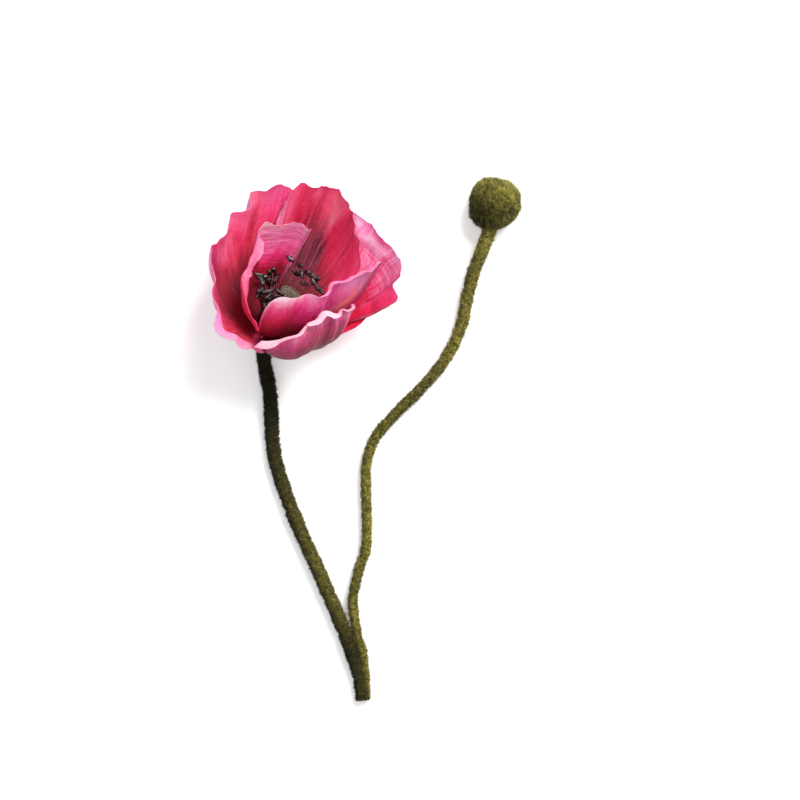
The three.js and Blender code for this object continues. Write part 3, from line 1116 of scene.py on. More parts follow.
# The six petals, outer ones first.
PETALS = (
    Petal(
        name="petal_outer_left", slot=Slot.PETAL_CRIMSON, finish=CRIMSON_SILK, seed=11,
        centre=190, spread=146, lift=0.2, ruffle=(0.8, 9, 0.2), curl=(70, 78, 78, 76, 74, 68, 56, 40),
        edge=(
            (104, 46, 30), (110, 49.5, 37), (116, 49.5, 39), (124, 49.3, 40), (131, 47.6, 38),
            (139, 46.4, 35.5), (144, 42.6, 32), (153, 41.0, 31), (165, 39.6, 29), (180, 35.4, 29.5),
            (192, 38, 32.5), (202, 36.6, 32), (209, 34.2, 28), (219, 35.4, 27.5), (230, 35.2, 25),
            (242, 37.2, 22.5), (249, 38.0, 20.4), (255, 31.8, 15.6), (262, 26.4, 10.9),
            (269, 22.8, 6.6), (277, 20.4, 3.7),
        ),
        inner=Dye(
            (
                (0.0, (130, 24, 46)), (0.3, (170, 32, 60)), (0.46, (164, 46, 68)), (0.6, (196, 30, 72)),
                (0.85, (226, 44, 106)), (1.0, (226, 66, 128)), (1.1, (250, 150, 190)),
            ),
            (
                Patch(0.40, 0.36, 0.13, 0.08, (96, 14, 34), 0.8),
                Patch(0.62, 0.80, 0.25, 0.14, (196, 22, 58), 0.6),
                Patch(1.02, 0.14, 0.14, 0.05, (205, 60, 150), 0.6),
                # painted highlights on the fold ridges at across 0.395 and 0.272, and painted shade in the
                # fold valleys at 0.335 and 0.215
                Patch(0.92, 0.395, 0.26, 0.022, (240, 88, 140), 0.8),
                Patch(0.86, 0.272, 0.26, 0.020, (240, 84, 136), 0.7),
                Patch(1.04, 0.34, 0.10, 0.035, (240, 112, 165), 0.6),
                Patch(0.72, 0.335, 0.26, 0.030, (176, 14, 54), 0.7),
                Patch(0.66, 0.215, 0.26, 0.030, (168, 14, 48), 0.8),
                # painted highlight at the top of the left lobe
                Patch(1.02, 0.20, 0.10, 0.03, (242, 104, 140), 0.6),
                Patch(0.95, 0.47, 0.14, 0.04, (180, 30, 90), 0.6),
                Patch(0.62, 0.55, 0.30, 0.07, (160, 40, 62), 0.6),
                Patch(0.93, 0.56, 0.3, 0.13, (148, 22, 68), 0.85, 0.0, 0.1),
                Patch(0.90, 0.46, 0.24, 0.06, (138, 18, 60), 0.85, 0.0, 0.0),
                # painted highlight along the fold ridge at across 0.395
                Patch(0.84, 0.395, 0.14, 0.022, (240, 92, 140), 0.5, 0.0, 0.6),
                Patch(0.9, 0.85, 0.2, 0.10, (226, 30, 84), 0.6, 0.0, 0.1),
                # painted highlight at the top of the left lobe
                Patch(0.95, 0.235, 0.14, 0.03, (252, 140, 172), 0.7, 0.0, 0.9),
                Patch(1.0, 0.20, 0.22, 0.14, (240, 120, 172), 0.4, 0.0, 0.5),
                Patch(0.98, 0.36, 0.20, 0.08, (240, 120, 168), 0.45, 0.0, 0.5),
                Patch(0.60, 0.49, 0.15, 0.10, (132, 40, 50), 0.75, 0.0, 0.0),
                Patch(0.46, 0.60, 0.18, 0.11, (92, 12, 32), 0.55, 0.0, 0.0),
                Patch(1.0, 0.49, 0.17, 0.09, (226, 40, 116), 0.75, 0.0, 0.3),
                Patch(1.06, 0.86, 0.22, 0.12, (250, 158, 200), 0.9, 0.0, 0.6),
                Patch(1.05, 0.68, 0.12, 0.10, (240, 84, 150), 0.7, 0.0, 0.4),
                # painted highlight along the fold ridge near across 0.355
                Patch(0.86, 0.355, 0.16, 0.028, (248, 112, 152), 0.8, 0.0, 0.7),
            ),
            0.3,
        ),
        outer=BACK_OF_PETAL,
        rolls=(MarginRoll(0.72, 0.955, 4.2, -75, 0.05),),
        rim=(
            0.4, 1.0, 1.4, 3.6, -0.2, 1.6, 1.4, 1.4, 1.8, 1.4, 0.9, -0.6, -0.6, 0.3, 0.8, 1.1, 0.3, -0.2,
            0.6, 1.2, 1.0,
        ),
        folds=(
            Fold(0.395, 0.022, 2.6, 0.40, 1.4, 0.02), Fold(0.34, 0.024, -2.0, 0.40),
            Fold(0.272, 0.020, 2.2, 0.5), Fold(0.215, 0.026, -2.2, 0.45), Fold(0.13, 0.02, 1.6, 0.6),
            Fold(0.48, 0.03, -1.6, 0.55), Fold(0.57, 0.025, 1.3, 0.5), Fold(0.69, 0.03, -0.9, 0.6),
        ),
    ),
    Petal(
        name="petal_outer_right", slot=Slot.PETAL_ROSE, finish=FAN_SILK, seed=23,
        centre=52, spread=84, lift=0.2, ruffle=(0.8, 7, 0.6), curl=(66, 76, 82, 84, 82, 68, 52, 44, 36),
        edge=(
            (98, 44, 26), (90, 47, 34), (82, 49, 40), (75, 49.6, 43), (70, 49.3, 41.5),
            (63, 49.5, 43), (53, 49.6, 44), (43, 49.6, 45), (32, 49, 47.5), (29.5, 47.8, 45),
            (30, 47, 40), (25, 47, 38), (17, 47.5, 39.5), (15.5, 47, 37), (22, 45, 29.5),
            (22, 41.5, 23), (17, 38.5, 18.5), (14, 33.5, 13.5), (6, 28.5, 9.2),
        ),
        inner=Dye(
            (
                (0.0, (120, 20, 40)), (0.35, (190, 20, 50)), (0.6, (216, 28, 72)), (0.85, (214, 42, 104)),
                (1.05, (224, 72, 132)),
            ),
            (
                Patch(0.98, 0.22, 0.20, 0.15, (226, 92, 152), 0.95, 0.0, 0.9),
                # painted highlights: white-pink patches on the upper part
                Patch(0.97, 0.17, 0.10, 0.035, (255, 212, 234), 0.9, 0.0, 1.0),
                Patch(0.92, 0.28, 0.05, 0.06, (255, 214, 234), 0.9, 0.2, 1.0),
                Patch(0.76, 0.30, 0.10, 0.03, (250, 150, 196), 0.7, 0.1, 0.9),
                Patch(0.99, 0.40, 0.05, 0.06, (250, 186, 216), 0.7, 0.2, 1.0),
                Patch(0.84, 0.40, 0.16, 0.10, (214, 72, 134), 0.8, 0.0, 0.9),
                Patch(0.95, 0.52, 0.2, 0.06, (226, 84, 158), 0.7, 0.0, 0.5),
                Patch(0.85, 0.85, 0.45, 0.19, (208, 26, 52), 0.95, 0.0, 0.0),
                Patch(1.06, 0.88, 0.10, 0.14, (190, 20, 44), 0.95, 0.0, 0.0),
            ),
            0.3,
        ),
        outer=Dye(
            BACK_OF_PETAL.stops, (Patch(0.95, 0.9, 0.4, 0.24, (196, 22, 46), 0.97, 0.0, 0.0),),
        ),
        rolls=(MarginRoll(0.0, 0.5, 1.2, 50),), rim=(1.6, 1.5, 1.7, 1.9, 1.8, 1.0, 1.6, 0.4, -0.9, 2.2, 0.6),
        crinkle=0.45, crinkle_beat=(3.5, 13.0),
    ),
    Petal(
        name="petal_outer_front", slot=Slot.PETAL_PALE, finish=PALE_SILK, seed=37,
        centre=308, spread=110, lift=1.3, ruffle=(0.7, 8, 0.1), curl=(56, 86, 114, 122, 116, 102, 82, 50),
        edge=(
            (272, 24, 8.5), (273.5, 27.5, 14), (277, 28.3, 19.5), (288, 31, 25), (298, 31.3, 29.5),
            (307, 30, 33), (316, 28.8, 36), (325, 28.5, 38.5), (334, 29.6, 39), (342, 30.4, 40),
            (350, 30.6, 40.6), (355, 30.4, 39), (359, 30.8, 33), (2, 31.6, 26), (0, 30, 18), (356, 27.5, 12),
        ),
        inner=Dye((
            (0.0, (90, 20, 40)), (0.4, (150, 36, 70)), (0.75, (206, 76, 122)), (0.92, (238, 130, 166)),
            (1.0, (246, 156, 184)),
        ), (
            Patch(1.05, 0.78, 0.4, 0.13, (208, 84, 150), 0.85),
            Patch(1.05, 0.42, 0.2, 0.14, (253, 192, 204), 0.85),
            Patch(1.0, 0.2, 0.14, 0.16, (255, 212, 220), 0.95, 0.0, 0.8),
        )),
        outer=Dye(
            (
                (0.0, (90, 16, 32)), (0.35, (92, 16, 32)), (0.6, (102, 18, 38)), (0.80, (128, 28, 54)),
                (0.92, (176, 58, 100)), (1.0, (226, 120, 166)),
            ),
            (
                Patch(0.95, 0.17, 0.22, 0.11, (232, 66, 140), 0.85),
                Patch(1.04, 0.2, 0.08, 0.16, (255, 196, 220), 0.9, 0.0, 0.8),
                Patch(1.0, 0.74, 0.3, 0.10, (166, 54, 98), 0.7),
            ),
            0.15,
        ),
        rolls=(
            MarginRoll(-0.1, 0.30, 6.0, -120, 0.1), MarginRoll(0.30, 0.56, 4.6, -114, 0.07),
            MarginRoll(0.56, 0.71, 1.8, -98, 0.06),
        ),
        rim=(0.4, 1.0, 1.4, 2.4, 3.0, 2.4, 2.2, 1.8, 0.4, -0.6, -1.0),
        folds=(Fold(0.48, 0.14, 1.3, 0.05, 1.2), Fold(0.62, 0.03, -0.7, 0.4), Fold(0.34, 0.03, -0.6, 0.4)),
        scallop=0.035, scallop_beat=10.0, roll_variety=0.25, flutter=0.2,
    ),
    Petal(
        name="petal_inner_back", slot=Slot.PETAL_CRIMSON, finish=CRIMSON_SILK, seed=41,
        centre=88, spread=84, lift=2.0, ruffle=(0.8, 8, 0.35), curl=(58, 76, 86, 88, 84, 76, 62),
        edge=(
            (121, 35, 19), (119.5, 41, 26), (117, 44.6, 32), (114.5, 46.8, 40), (111, 47.6, 45),
            (105, 47.6, 45.5), (100, 47.6, 46.5), (95.5, 47.6, 48), (91, 47.6, 48), (86, 47.6, 46.5),
            (81, 47.2, 43), (77, 47, 42), (73, 46, 37.5), (68, 45.6, 36.5), (63, 43.6, 32),
            (57, 43, 30), (52, 39, 23),
        ),
        inner=Dye(
            (
                (0.0, (88, 16, 30)), (0.3, (112, 16, 32)), (0.45, (122, 18, 36)), (0.6, (206, 20, 62)),
                (0.8, (224, 34, 88)), (1.0, (244, 72, 124)), (1.1, (246, 120, 164)),
            ),
            (
                Patch(0.52, 0.44, 0.18, 0.15, (86, 14, 28), 0.8, -0.4),
                Patch(0.58, 0.55, 0.22, 0.10, (90, 14, 32), 0.8, -0.45),
                Patch(0.58, 0.56, 0.15, 0.055, (66, 8, 28), 0.7, -0.45),
                # painted highlights: a light band along the left margin and light spots near the rim
                Patch(0.85, 0.13, 0.34, 0.085, (254, 140, 188), 0.95, 0.0, 0.7),
                Patch(0.92, 0.52, 0.12, 0.06, (250, 140, 160), 0.7, 0.0, 0.9),
                Patch(0.95, 0.36, 0.12, 0.05, (244, 100, 144), 0.6, 0.0, 0.8),
                Patch(0.82, 0.79, 0.26, 0.14, (198, 30, 82), 0.75, 0.0, 0.2),
                Patch(0.40, 0.50, 0.22, 0.40, (72, 8, 26), 0.45),
                Patch(0.70, 0.66, 0.3, 0.05, (196, 20, 60), 0.6, 0.0, 0.1),
                Patch(0.80, 0.30, 0.3, 0.04, (206, 28, 76), 0.5, 0.0, 0.2),
            ),
            0.3,
        ),
        outer=BACK_OF_PETAL,
        rolls=(MarginRoll(-0.1, 0.16, 3.0, 35), MarginRoll(0.3, 1.1, 1.0, 40)),
        rim=(0.8, 1.8, 2.2, 2.2, 2.6, 3.6, 3.6, 1.6, 0.9, 0.6, 0.4),
        folds=(
            Fold(0.19, 0.02, -1.0, 0.5), Fold(0.60, 0.02, 1.0, 0.7), Fold(0.66, 0.02, -0.9, 0.7),
            Fold(0.8, 0.02, 0.8, 0.6),
        ),
    ),
    Petal(
        name="petal_inner_left", slot=Slot.PETAL_ROSE, finish=CRINKLED_SILK, seed=53,
        centre=172, spread=132, lift=3.1, ruffle=(0.6, 7, 0.0), curl=(40, 72, 84, 82, 76, 74, 64, 46),
        edge=(
            (107, 22, 12), (103, 25.5, 21), (97, 29.8, 30), (96.4, 31.2, 34.4), (98.4, 31.4, 37.5),
            (105, 31.4, 38.6), (118, 31, 36.8), (132, 31, 35.8), (140, 30.3, 34.5), (148, 27, 32),
            (160, 22, 30.5), (174, 21, 30), (190, 20.5, 29), (207, 20.2, 27), (223, 20.6, 24),
            (236, 18.2, 19), (249, 16.8, 14), (262, 16.5, 10.0),
        ),
        inner=Dye(
            (
                (0.0, (110, 14, 34)), (0.38, (118, 10, 32)), (0.56, (150, 12, 42)), (0.65, (214, 40, 106)),
                (0.8, (232, 104, 162)), (0.95, (232, 130, 180)), (1.05, (248, 184, 198)),
            ),
            (
                Patch(0.82, 0.20, 0.16, 0.05, (236, 84, 156), 0.6),
                Patch(0.50, 0.03, 0.24, 0.14, (112, 12, 36), 0.95, 0.0, 0.0),
                # painted highlight: pale spots on the top edge
                Patch(1.0, 0.42, 0.05, 0.07, (250, 196, 188), 0.8, 0.0, 0.6),
            ),
            0.5,
        ),
        outer=Dye(
            ((0.0, (150, 20, 50)), (0.5, (214, 54, 104)), (1.0, (214, 104, 148)), (1.1, (220, 124, 160))),
            (
                Patch(1.05, 0.98, 0.8, 0.24, (232, 30, 86), 0.95),
                Patch(0.5, 0.0, 0.3, 0.12, (112, 12, 36), 0.95),
            ),
            0.25,
        ),
        rolls=(MarginRoll(0.53, 0.76, 6.0, 150), MarginRoll(0.76, 1.1, 4.2, 155)),
        crinkle=0.24, crinkle_beat=(9.0, 24.0), scallop=0.075, scallop_beat=16.0,
        rim=(0.3, 0.8, 1.2, 1.2, 1.2, 1.0, 0.6, 0.4, 0.2),
    ),
    Petal(
        name="petal_inner_front", slot=Slot.PETAL_ROSE, finish=ROSE_SILK, seed=67,
        centre=322, spread=110, lift=3.1, ruffle=(0.6, 9, 0.4), curl=(52, 92, 112, 116, 112, 104, 90, 56),
        edge=(
            (274, 17.0, 8.5), (269, 17.8, 17), (266, 21.5, 26), (264.5, 23.4, 34), (269, 21.3, 38.5),
            (287, 20.4, 43), (303, 19.2, 45.5), (322, 20, 47), (344, 19.8, 48.7), (7, 23, 49),
            (22, 29.5, 47), (34, 35, 46.5), (40, 39.5, 45), (38, 40, 38), (35, 36.4, 29),
            (31, 31, 19), (26, 24, 12),
        ),
        inner=Dye(
            ((0.0, (100, 16, 36)), (0.5, (176, 30, 70)), (0.85, (204, 66, 120)), (1.0, (212, 104, 150))),
            (Patch(1.0, 0.3, 0.3, 0.14, (244, 176, 204), 0.9),),
        ),
        outer=Dye(
            (
                (0.0, (90, 8, 24)), (0.45, (140, 8, 36)), (0.7, (210, 14, 66)), (0.86, (240, 40, 122)),
                (1.0, (248, 88, 164)),
            ),
            (
                Patch(0.84, 0.46, 0.26, 0.11, (228, 20, 146), 0.95, -0.1),
                # painted shade low on this face, where it lies in the gap above the outer front petal
                Patch(0.52, 0.48, 0.14, 0.16, (84, 10, 38), 0.8),
                # painted highlight on the rolled ridge
                Patch(1.01, 0.29, 0.1, 0.12, (255, 236, 244), 1.0, 0.0, 0.9),
                Patch(0.94, 0.76, 0.30, 0.15, (190, 120, 158), 0.95),
                Patch(0.96, 0.62, 0.12, 0.10, (206, 124, 172), 0.85),
                Patch(0.76, 0.60, 0.10, 0.02, (240, 124, 104), 0.8),
            ),
            0.2,
        ),
        rolls=(MarginRoll(0.42, 1.1, 2.4, -80),), scallop=0.05, scallop_beat=14.0,
        rim=(0.2, 0.4, 0.6, 0.6, 0.8, 0.8, 0.5, 0.3, 0.2),
        folds=(
            Fold(0.50, 0.02, 1.3, 0.6), Fold(0.46, 0.02, -0.9, 0.6), Fold(0.62, 0.018, 1.0, 0.7),
            Fold(0.70, 0.018, -0.8, 0.7),
        ),
    ),
)


# ---- stems and bud ---------------------------------------------------------------------------


def smooth_path(knots: Sequence[Sequence[float]], count: int) -> Array:
    """Even steps along a smooth curve through knots.

    Args:
        knots: Places that the curve passes through.
        count: How many steps' ends to return.

    Returns:
        (count, 3) places, evenly spaced along the curve.
    """
    p = np.array(knots, float)
    p = np.concatenate([[2 * p[0] - p[1]], p, [2 * p[-1] - p[-2]]])
    dense = []
    for k in range(1, len(p) - 2):
        a, b, c, d = p[k - 1 : k + 3]
        ta, tb, tc = (max(np.linalg.norm(v) ** 0.5, 1e-4) for v in (b - a, c - b, d - c))
        m1 = ((b - a) / ta - (c - a) / (ta + tb) + (c - b) / tb) * tb
        m2 = ((c - b) / tb - (d - b) / (tb + tc) + (d - c) / tc) * tb
        t = np.linspace(0, 1, 40, endpoint=False)[:, None]
        dense.append(b + m1 * t + (3 * (c - b) - 2 * m1 - m2) * t**2 + (2 * (b - c) + m1 + m2) * t**3)
    dense = np.concatenate([*dense, [p[-2]]])
    run = np.concatenate([[0], np.cumsum(np.linalg.norm(np.diff(dense, axis=0), axis=1))])
    even = np.linspace(0, run[-1], count)
    return np.stack([np.interp(even, run, dense[:, c]) for c in range(3)], -1)


def carried_frames(path: Array) -> tuple[Array, Array, Array]:
    """Directions that don't twist along a path.

    Args:
        path: (n, 3) places.

    Returns:
        The tangent, and two directions square to it.
    """
    tangent = unit(np.gradient(path, axis=0))
    normal = np.zeros_like(path)
    normal[0] = unit(np.cross(tangent[0], [0.0, 0.0, 1.0]))
    for k in range(1, len(path)):
        normal[k] = unit(normal[k - 1] - tangent[k] * np.dot(normal[k - 1], tangent[k]))
    return tangent, normal, np.cross(tangent, normal)


@dataclass(frozen=True)
class FibreCut:
    """One sort of flock fibre.

    `length` is the shortest and the longest, `width` half its width at the root, `spread` how far
    it lies over, the larger the flatter, and `lift` how much lighter it is.
    """

    length: tuple[float, float]
    width: float
    spread: float
    lift: float = 0.0


@dataclass
class FibreBed:
    """Where flock fibres stand, with one row for each.

    `flow` runs along the surface, `dark` is the painted shade there, how much darker the flock is
    painted, 0 to 1, and `clump` the tone that neighbours share, about -1 to 1.
    """

    roots: Array
    outward: Array
    flow: Array
    surface: Array
    dark: Array
    clump: Array

    ROOT_DEPTH = 0.18
    FLOOR_GAP = 0.01
    TINTS = ((0.85, 1.15), (0.9, 1.1), (0.75, 1.2))  # how far red, green and blue vary

    def plant(
        self, draft: MeshDraft, seed: int, standing: FibreCut, loose: FibreCut, loose_share: int
    ) -> None:
        """Adds the fibres to a piece.

        Args:
            draft: The mesh that they join.
            seed: Which fibres.
            standing: How most of them are cut.
            loose: How the ones that stick out are cut.
            loose_share: One fibre in this many sticks out.
        """
        count = len(self.roots) // loose_share
        for part, cut in ((slice(count, None), standing), (slice(0, count), loose)):
            points, triangles, dye = self.spikes(part, cut, seed)
            draft.add(points, triangles, 0, np.repeat(self.surface[part], 4, axis=0), dye)

    def spikes(self, part: slice, cut: FibreCut, seed: int) -> tuple[Array, Array, Array]:
        """Makes some of the fibres, each a slim closed spike.

        Args:
            part: Which rows.
            cut: How they are cut.
            seed: Which fibres.

        Returns:
            The points, the triangles and the dyes.
        """
        random = np.random.default_rng(seed)
        roots, outward, flow = self.roots[part], self.outward[part], self.flow[part]
        clump, light, count = self.clump[part] + cut.lift, 1 - self.dark[part], len(roots)
        other = np.cross(outward, flow)
        lean = random.normal(0, cut.spread, (count, 2))
        way = unit(outward + flow * lean[:, :1] + other * lean[:, 1:])
        reach = random.uniform(*cut.length, (count, 1)) * (1 + 0.6 * np.clip(clump, -0.9, 0.9))[:, None]
        turn = random.uniform(0, FULL_TURN, count)
        foot = roots - outward * self.ROOT_DEPTH
        feet = [foot + cut.width * around(flow, other, 1.0, turn + FULL_TURN * k / 3) for k in range(3)]
        points = np.stack([*feet, roots + way * reach], 1).reshape(-1, 3)
        points[:, 2] = np.maximum(points[:, 2], self.FLOOR_GAP)
        base = np.arange(count)[:, None] * 4
        triangles = np.concatenate([base + corner for corner in ([0, 2, 1], [0, 1, 3], [1, 2, 3], [2, 0, 3])])
        bright = random.random(count) < 0.02 + 0.45 * (clump > 0.5)
        tone = np.clip(0.02 + 1.20 * clump + random.normal(0, 0.12, count) + 1.1 * bright, 0.0, 2.4)
        # the painted shade darkens each fibre's colour
        tint = np.stack([*(light * random.uniform(*ends, count) for ends in self.TINTS), tone], -1)
        return points, triangles, np.repeat(tint, 4, axis=0)


@dataclass
class FlockedStem:
    """A wire stem covered in flock.

    `shade` is painted shade: how much darker its flock is painted at each step along it, 0 to 1.
    `side_shade` is more painted shade, on the side that `SHADED_WAY` points to.
    """

    name: str
    knots: tuple[tuple[float, float, float], ...]
    radii: tuple[float, ...]
    finish: FlockFinish
    fibre_count: int
    seed: int
    rings: int
    shade: tuple[tuple[float, float], ...]
    side_shade: float = 0.6

    SIDES = 24
    NAP = 0.34  # how far the core lies below the radius that it has with its flock
    LUMPS = 0.28
    # the side of the stem that the painted shade darkens
    SHADED_WAY = (-0.6, -0.8, -0.15)
    STANDING = FibreCut((0.4, 1.5), 0.24, 0.7)
    LOOSE = FibreCut((1.0, 2.0), 0.17, 1.6, 0.45)
    LOOSE_SHARE = 6

    def radius(self, t: Array, turn: Array) -> Array:
        """The radius of the stem's lumpy core.

        Args:
            t: How far along the stem, 0 to 1.
            turn: The angle round it.

        Returns:
            Radii in millimetres.
        """
        run = t * (self.rings / 3.2) * 0.9
        lumps = rough(run, np.cos(turn) * 1.2 + 7, self.seed)
        lumps = lumps + rough(run, np.sin(turn) * 1.2 + 3, self.seed + 5)
        return smooth_through(self.radii, t) - self.NAP + self.LUMPS * lumps

    def painted_shade_at(self, t: Array) -> Array:
        """The painted shade at t along the stem: how much darker its flock is painted, 0 to 1."""
        return np.interp(t, *zip(*self.shade))

    def draft(self) -> MeshDraft:
        """Builds the stem's core and its fibres.

        Returns:
            The piece's mesh.
        """
        path = smooth_path(self.knots, self.rings)
        _, normal, binormal = carried_frames(path)
        t, turn = ring_grid(0, 1, self.rings, self.SIDES)
        out = around(normal[:, None], binormal[:, None], 1.0, turn)
        rings = path[:, None] + out * self.radius(t, turn)[..., None]
        rings[..., 2] = np.maximum(rings[..., 2], 0.0)
        points, quads, ends = skin(rings)
        # the painted shade along the stem darkens its core
        light = 1 - self.painted_shade_at(t[:, 0])
        light = np.concatenate([np.repeat(light, self.SIDES), light[[0, -1]]])
        dye = np.stack([light, light, light, np.full(len(points), NEUTRAL)], -1)
        draft = MeshDraft(self.name + "_flock")
        draft.add(points, quads, 0, ring_surface(t, turn), dye, ends)
        self.bed(path, normal, binormal).plant(
            draft, self.seed + 101, self.STANDING, self.LOOSE, self.LOOSE_SHARE
        )
        return draft

    def bed(self, path: Array, normal: Array, binormal: Array) -> FibreBed:
        """Spreads the fibres all over the stem.

        Args:
            path: The stem's middle line.
            normal: A direction square to it at each step.
            binormal: The other one.

        Returns:
            Where they stand.
        """
        random = np.random.default_rng(self.seed + 100)
        t = random.uniform(0.001, 0.999, self.fibre_count)
        turn = random.uniform(0, FULL_TURN, self.fibre_count)
        at = t * (self.rings - 1)
        low = np.floor(at).astype(int)
        share = (at - low)[:, None]
        middle, n, b = (line[low] * (1 - share) + line[low + 1] * share for line in (path, normal, binormal))
        n, b = unit(n), unit(b)
        out = around(n, b, 1.0, turn)
        # painted shade: darker along the stem, and darker still on the side that SHADED_WAY points to
        shaded = smooth_step(-0.25, 0.85, out @ unit(np.array(self.SHADED_WAY)))
        return FibreBed(
            roots=middle + out * self.radius(t, turn)[:, None], outward=out, flow=np.cross(n, b),
            surface=np.stack([t, turn / SURFACE_TURN], -1),
            dark=1 - (1 - self.painted_shade_at(t)) * (1 - self.side_shade * shaded),
            clump=1.3 * rough(t * self.rings * 0.62, turn * 3.6, self.seed + 9, 1),
        )

    def build(self) -> bpy.types.Object:
        return declare(self.draft().build([self.finish.material()]), self.name, Slot.FLOCKED_STEM)


@dataclass
class Bud:
    """The round, flocked bud. Each of its lobes has a heading in degrees, a spread and a height."""

    radius: float = 11.4
    centre: tuple[float, float, float] = (61.2, 228.0, 10.4)
    heading: float = 83.0
    fibre_count: int = 30000
    seed: int = 301
    rows: int = 96
    sides: int = 150
    finish: FlockFinish = FlockFinish("flock_bud", dark=(30, 34, 10), light=(176, 168, 80))
    lobes: tuple[tuple[float, float, float], ...] = (
        (230, 0.10, 0.21), (145, 0.14, 0.08), (118, 0.10, 0.05), (68, 0.20, -0.05), (320, 0.35, -0.035),
        (200, 0.10, 0.02), (280, 0.10, 0.03),
    )

    NAP = 0.95  # how far the core lies below the radius that it has with its flock
    # painted shade: how much darker the flock is painted on the side that SHADED_WAY points to
    SIDE_SHADE = 0.58
    SHADED_WAY = (-0.75, -0.6, 0.1)
    SURFACE_SPAN = 3.2  # radians from pole to pole for one unit of the surface coordinate
    STANDING = FibreCut((0.5, 2.0), 0.27, 0.7)
    LOOSE = FibreCut((1.2, 2.4), 0.19, 1.6, 0.45)
    LOOSE_SHARE = 5

    def surface_radius(self, out: Array) -> Array:
        """The radius of the bud's lumpy core in each direction.

        Args:
            out: (..., 3) directions from its centre.

        Returns:
            Radii in millimetres.
        """
        swell = 1.0
        for heading, spread, height in self.lobes:
            swell = swell + height * np.exp(-(1 - out @ level_way(heading)) / spread)
        x, y, z = out[..., 0], out[..., 1], out[..., 2]
        lumps = rough(x * 2.2 + 9, y * 2.2 + z * 1.7 + 5, self.seed, 3) * 0.35
        grain = rough(x * 11 + z * 4 + 30, y * 11 - z * 5 + 30, self.seed + 7, 2) * 0.6
        return (self.radius - self.NAP) * swell + lumps + grain

    def place(self, turn: Array, polar: Array) -> tuple[Array, Array]:
        """Places on the bud.

        Args:
            turn: The turn round its axis.
            polar: The angle from its neck.

        Returns:
            The places, and the directions outward there.
        """
        axis = level_way(self.heading)
        across, other = square_to(axis)
        out = around(across, other, np.sin(polar), turn) - axis * np.cos(polar)[..., None]
        return np.array(self.centre) + out * self.surface_radius(out)[..., None], out

    def bed(self) -> FibreBed:
        """Spreads the fibres all over the bud.

        Returns:
            Where they stand.
        """
        random = np.random.default_rng(self.seed + 50)
        polar = np.arccos(random.uniform(-0.97, 1.0, self.fibre_count))
        turn = random.uniform(0, FULL_TURN, self.fibre_count)
        roots, out = self.place(turn, polar)
        x, y, z = out.T
        return FibreBed(
            roots=roots, outward=out, flow=unit(np.cross(out, [0.31, 0.22, 0.93])),
            surface=np.stack([polar / self.SURFACE_SPAN, turn / SURFACE_TURN], -1),
            # painted shade on the side that SHADED_WAY points to
            dark=self.SIDE_SHADE * smooth_step(0.0, 0.85, out @ unit(np.array(self.SHADED_WAY))),
            clump=1.3 * rough(x * 15 + z * 8 + 30, y * 15 - z * 8 + 30, self.seed + 9, 1),
        )

    def build(self) -> bpy.types.Object:
        """Returns:
            The piece.
        """
        polar, turn = ring_grid(0.03, math.pi - 0.03, self.rows, self.sides)
        rings, _ = self.place(turn, polar)
        rings[..., 2] = np.maximum(rings[..., 2], 0.0)
        points, quads, ends = skin(rings)
        dye = np.tile([1.0, 1.0, 1.0, NEUTRAL], (len(points), 1))
        draft = MeshDraft("bud_flock")
        draft.add(points, quads, 0, ring_surface(polar / self.SURFACE_SPAN, turn), dye, ends)
        self.bed().plant(draft, self.seed + 51, self.STANDING, self.LOOSE, self.LOOSE_SHARE)
        return declare(draft.build([self.finish.material()]), "bud", Slot.FLOCKED_BUD)


# ---- the bloom's middle ----------------------------------------------------------------------


@dataclass
class SeedCapsule:
    """The ribbed seed capsule, leaning to the back of the bloom. `profile` is radius and height."""

    lean: tuple[float, float] = (57.0, 5.5)
    ribs: int = 24
    rows: int = 90
    sides: int = 208
    skin_dye: Colour = (24, 22, 18)
    crest_dye: Colour = (140, 126, 98)
    finish: WrinkledFinish = WrinkledFinish("capsule_skin", size=900, roughness=(0.4, 0.7), relief=0.5)
    profile: tuple[tuple[float, float], ...] = (
        (2.7, 4.1), (3.0, 6.0), (3.7, 9.5), (4.9, 14.0), (5.2, 18.4), (4.9, 19.3), (5.4, 20.2), (5.0, 21.2),
        (3.4, 22.1), (1.7, 22.5), (0.25, 22.6),
    )

    def build(self) -> bpy.types.Object:
        """Returns:
            The piece.
        """
        base = np.array(BLOOM.base)
        axis = unit(BLOOM.point(np.radians(self.lean[0]), self.lean[1], 22.0) - base)
        t, turn = ring_grid(0, 1, self.rows, self.sides)
        radius, height = (smooth_through(line, t) for line in zip(*self.profile))
        wander = 0.10 * rough(t * 9, turn * 2, 5)
        wave = np.abs(np.cos((turn + wander) * self.ribs / 2)) ** 0.8
        crown = smooth_step(0.62, 0.74, t)
        radius = radius * (1 + (0.10 * crown + 0.03) * (wave - 0.6) * smooth_step(0.3, 2.2, radius))
        fine = rough(turn * 14, t * 26, 8, 2)
        height = height + crown * (0.42 * (wave - 0.5) * smooth_step(0.2, 1.6, radius) + 0.10 * fine)
        radius = radius + 0.06 * fine * (1 - crown)
        points, quads, ends = skin(base + axis * height[..., None] + around(*square_to(axis), radius, turn))
        crest = np.clip(1.1 * wave**8 * (0.65 + 0.9 * fine), 0, 0.9) * crown + 0.03
        # painted highlight: the crown is painted lighter round its middle
        crest = np.maximum(crest, 0.6 * hill(radius, 0.0, 0.9) * crown)[..., None]
        painted = linear(self.skin_dye) * (1 - crest) + linear(self.crest_dye) * crest
        dye = np.concatenate([painted, crest], -1).reshape(-1, 4)
        draft = MeshDraft("seed_capsule_ribbed")
        draft.add(points, quads, 0, ring_surface(t, turn), np.concatenate([dye, dye[[0, -1]]]), ends)
        return declare(draft.build([self.finish.material()]), "seed_capsule", Slot.CAPSULE_DARK)


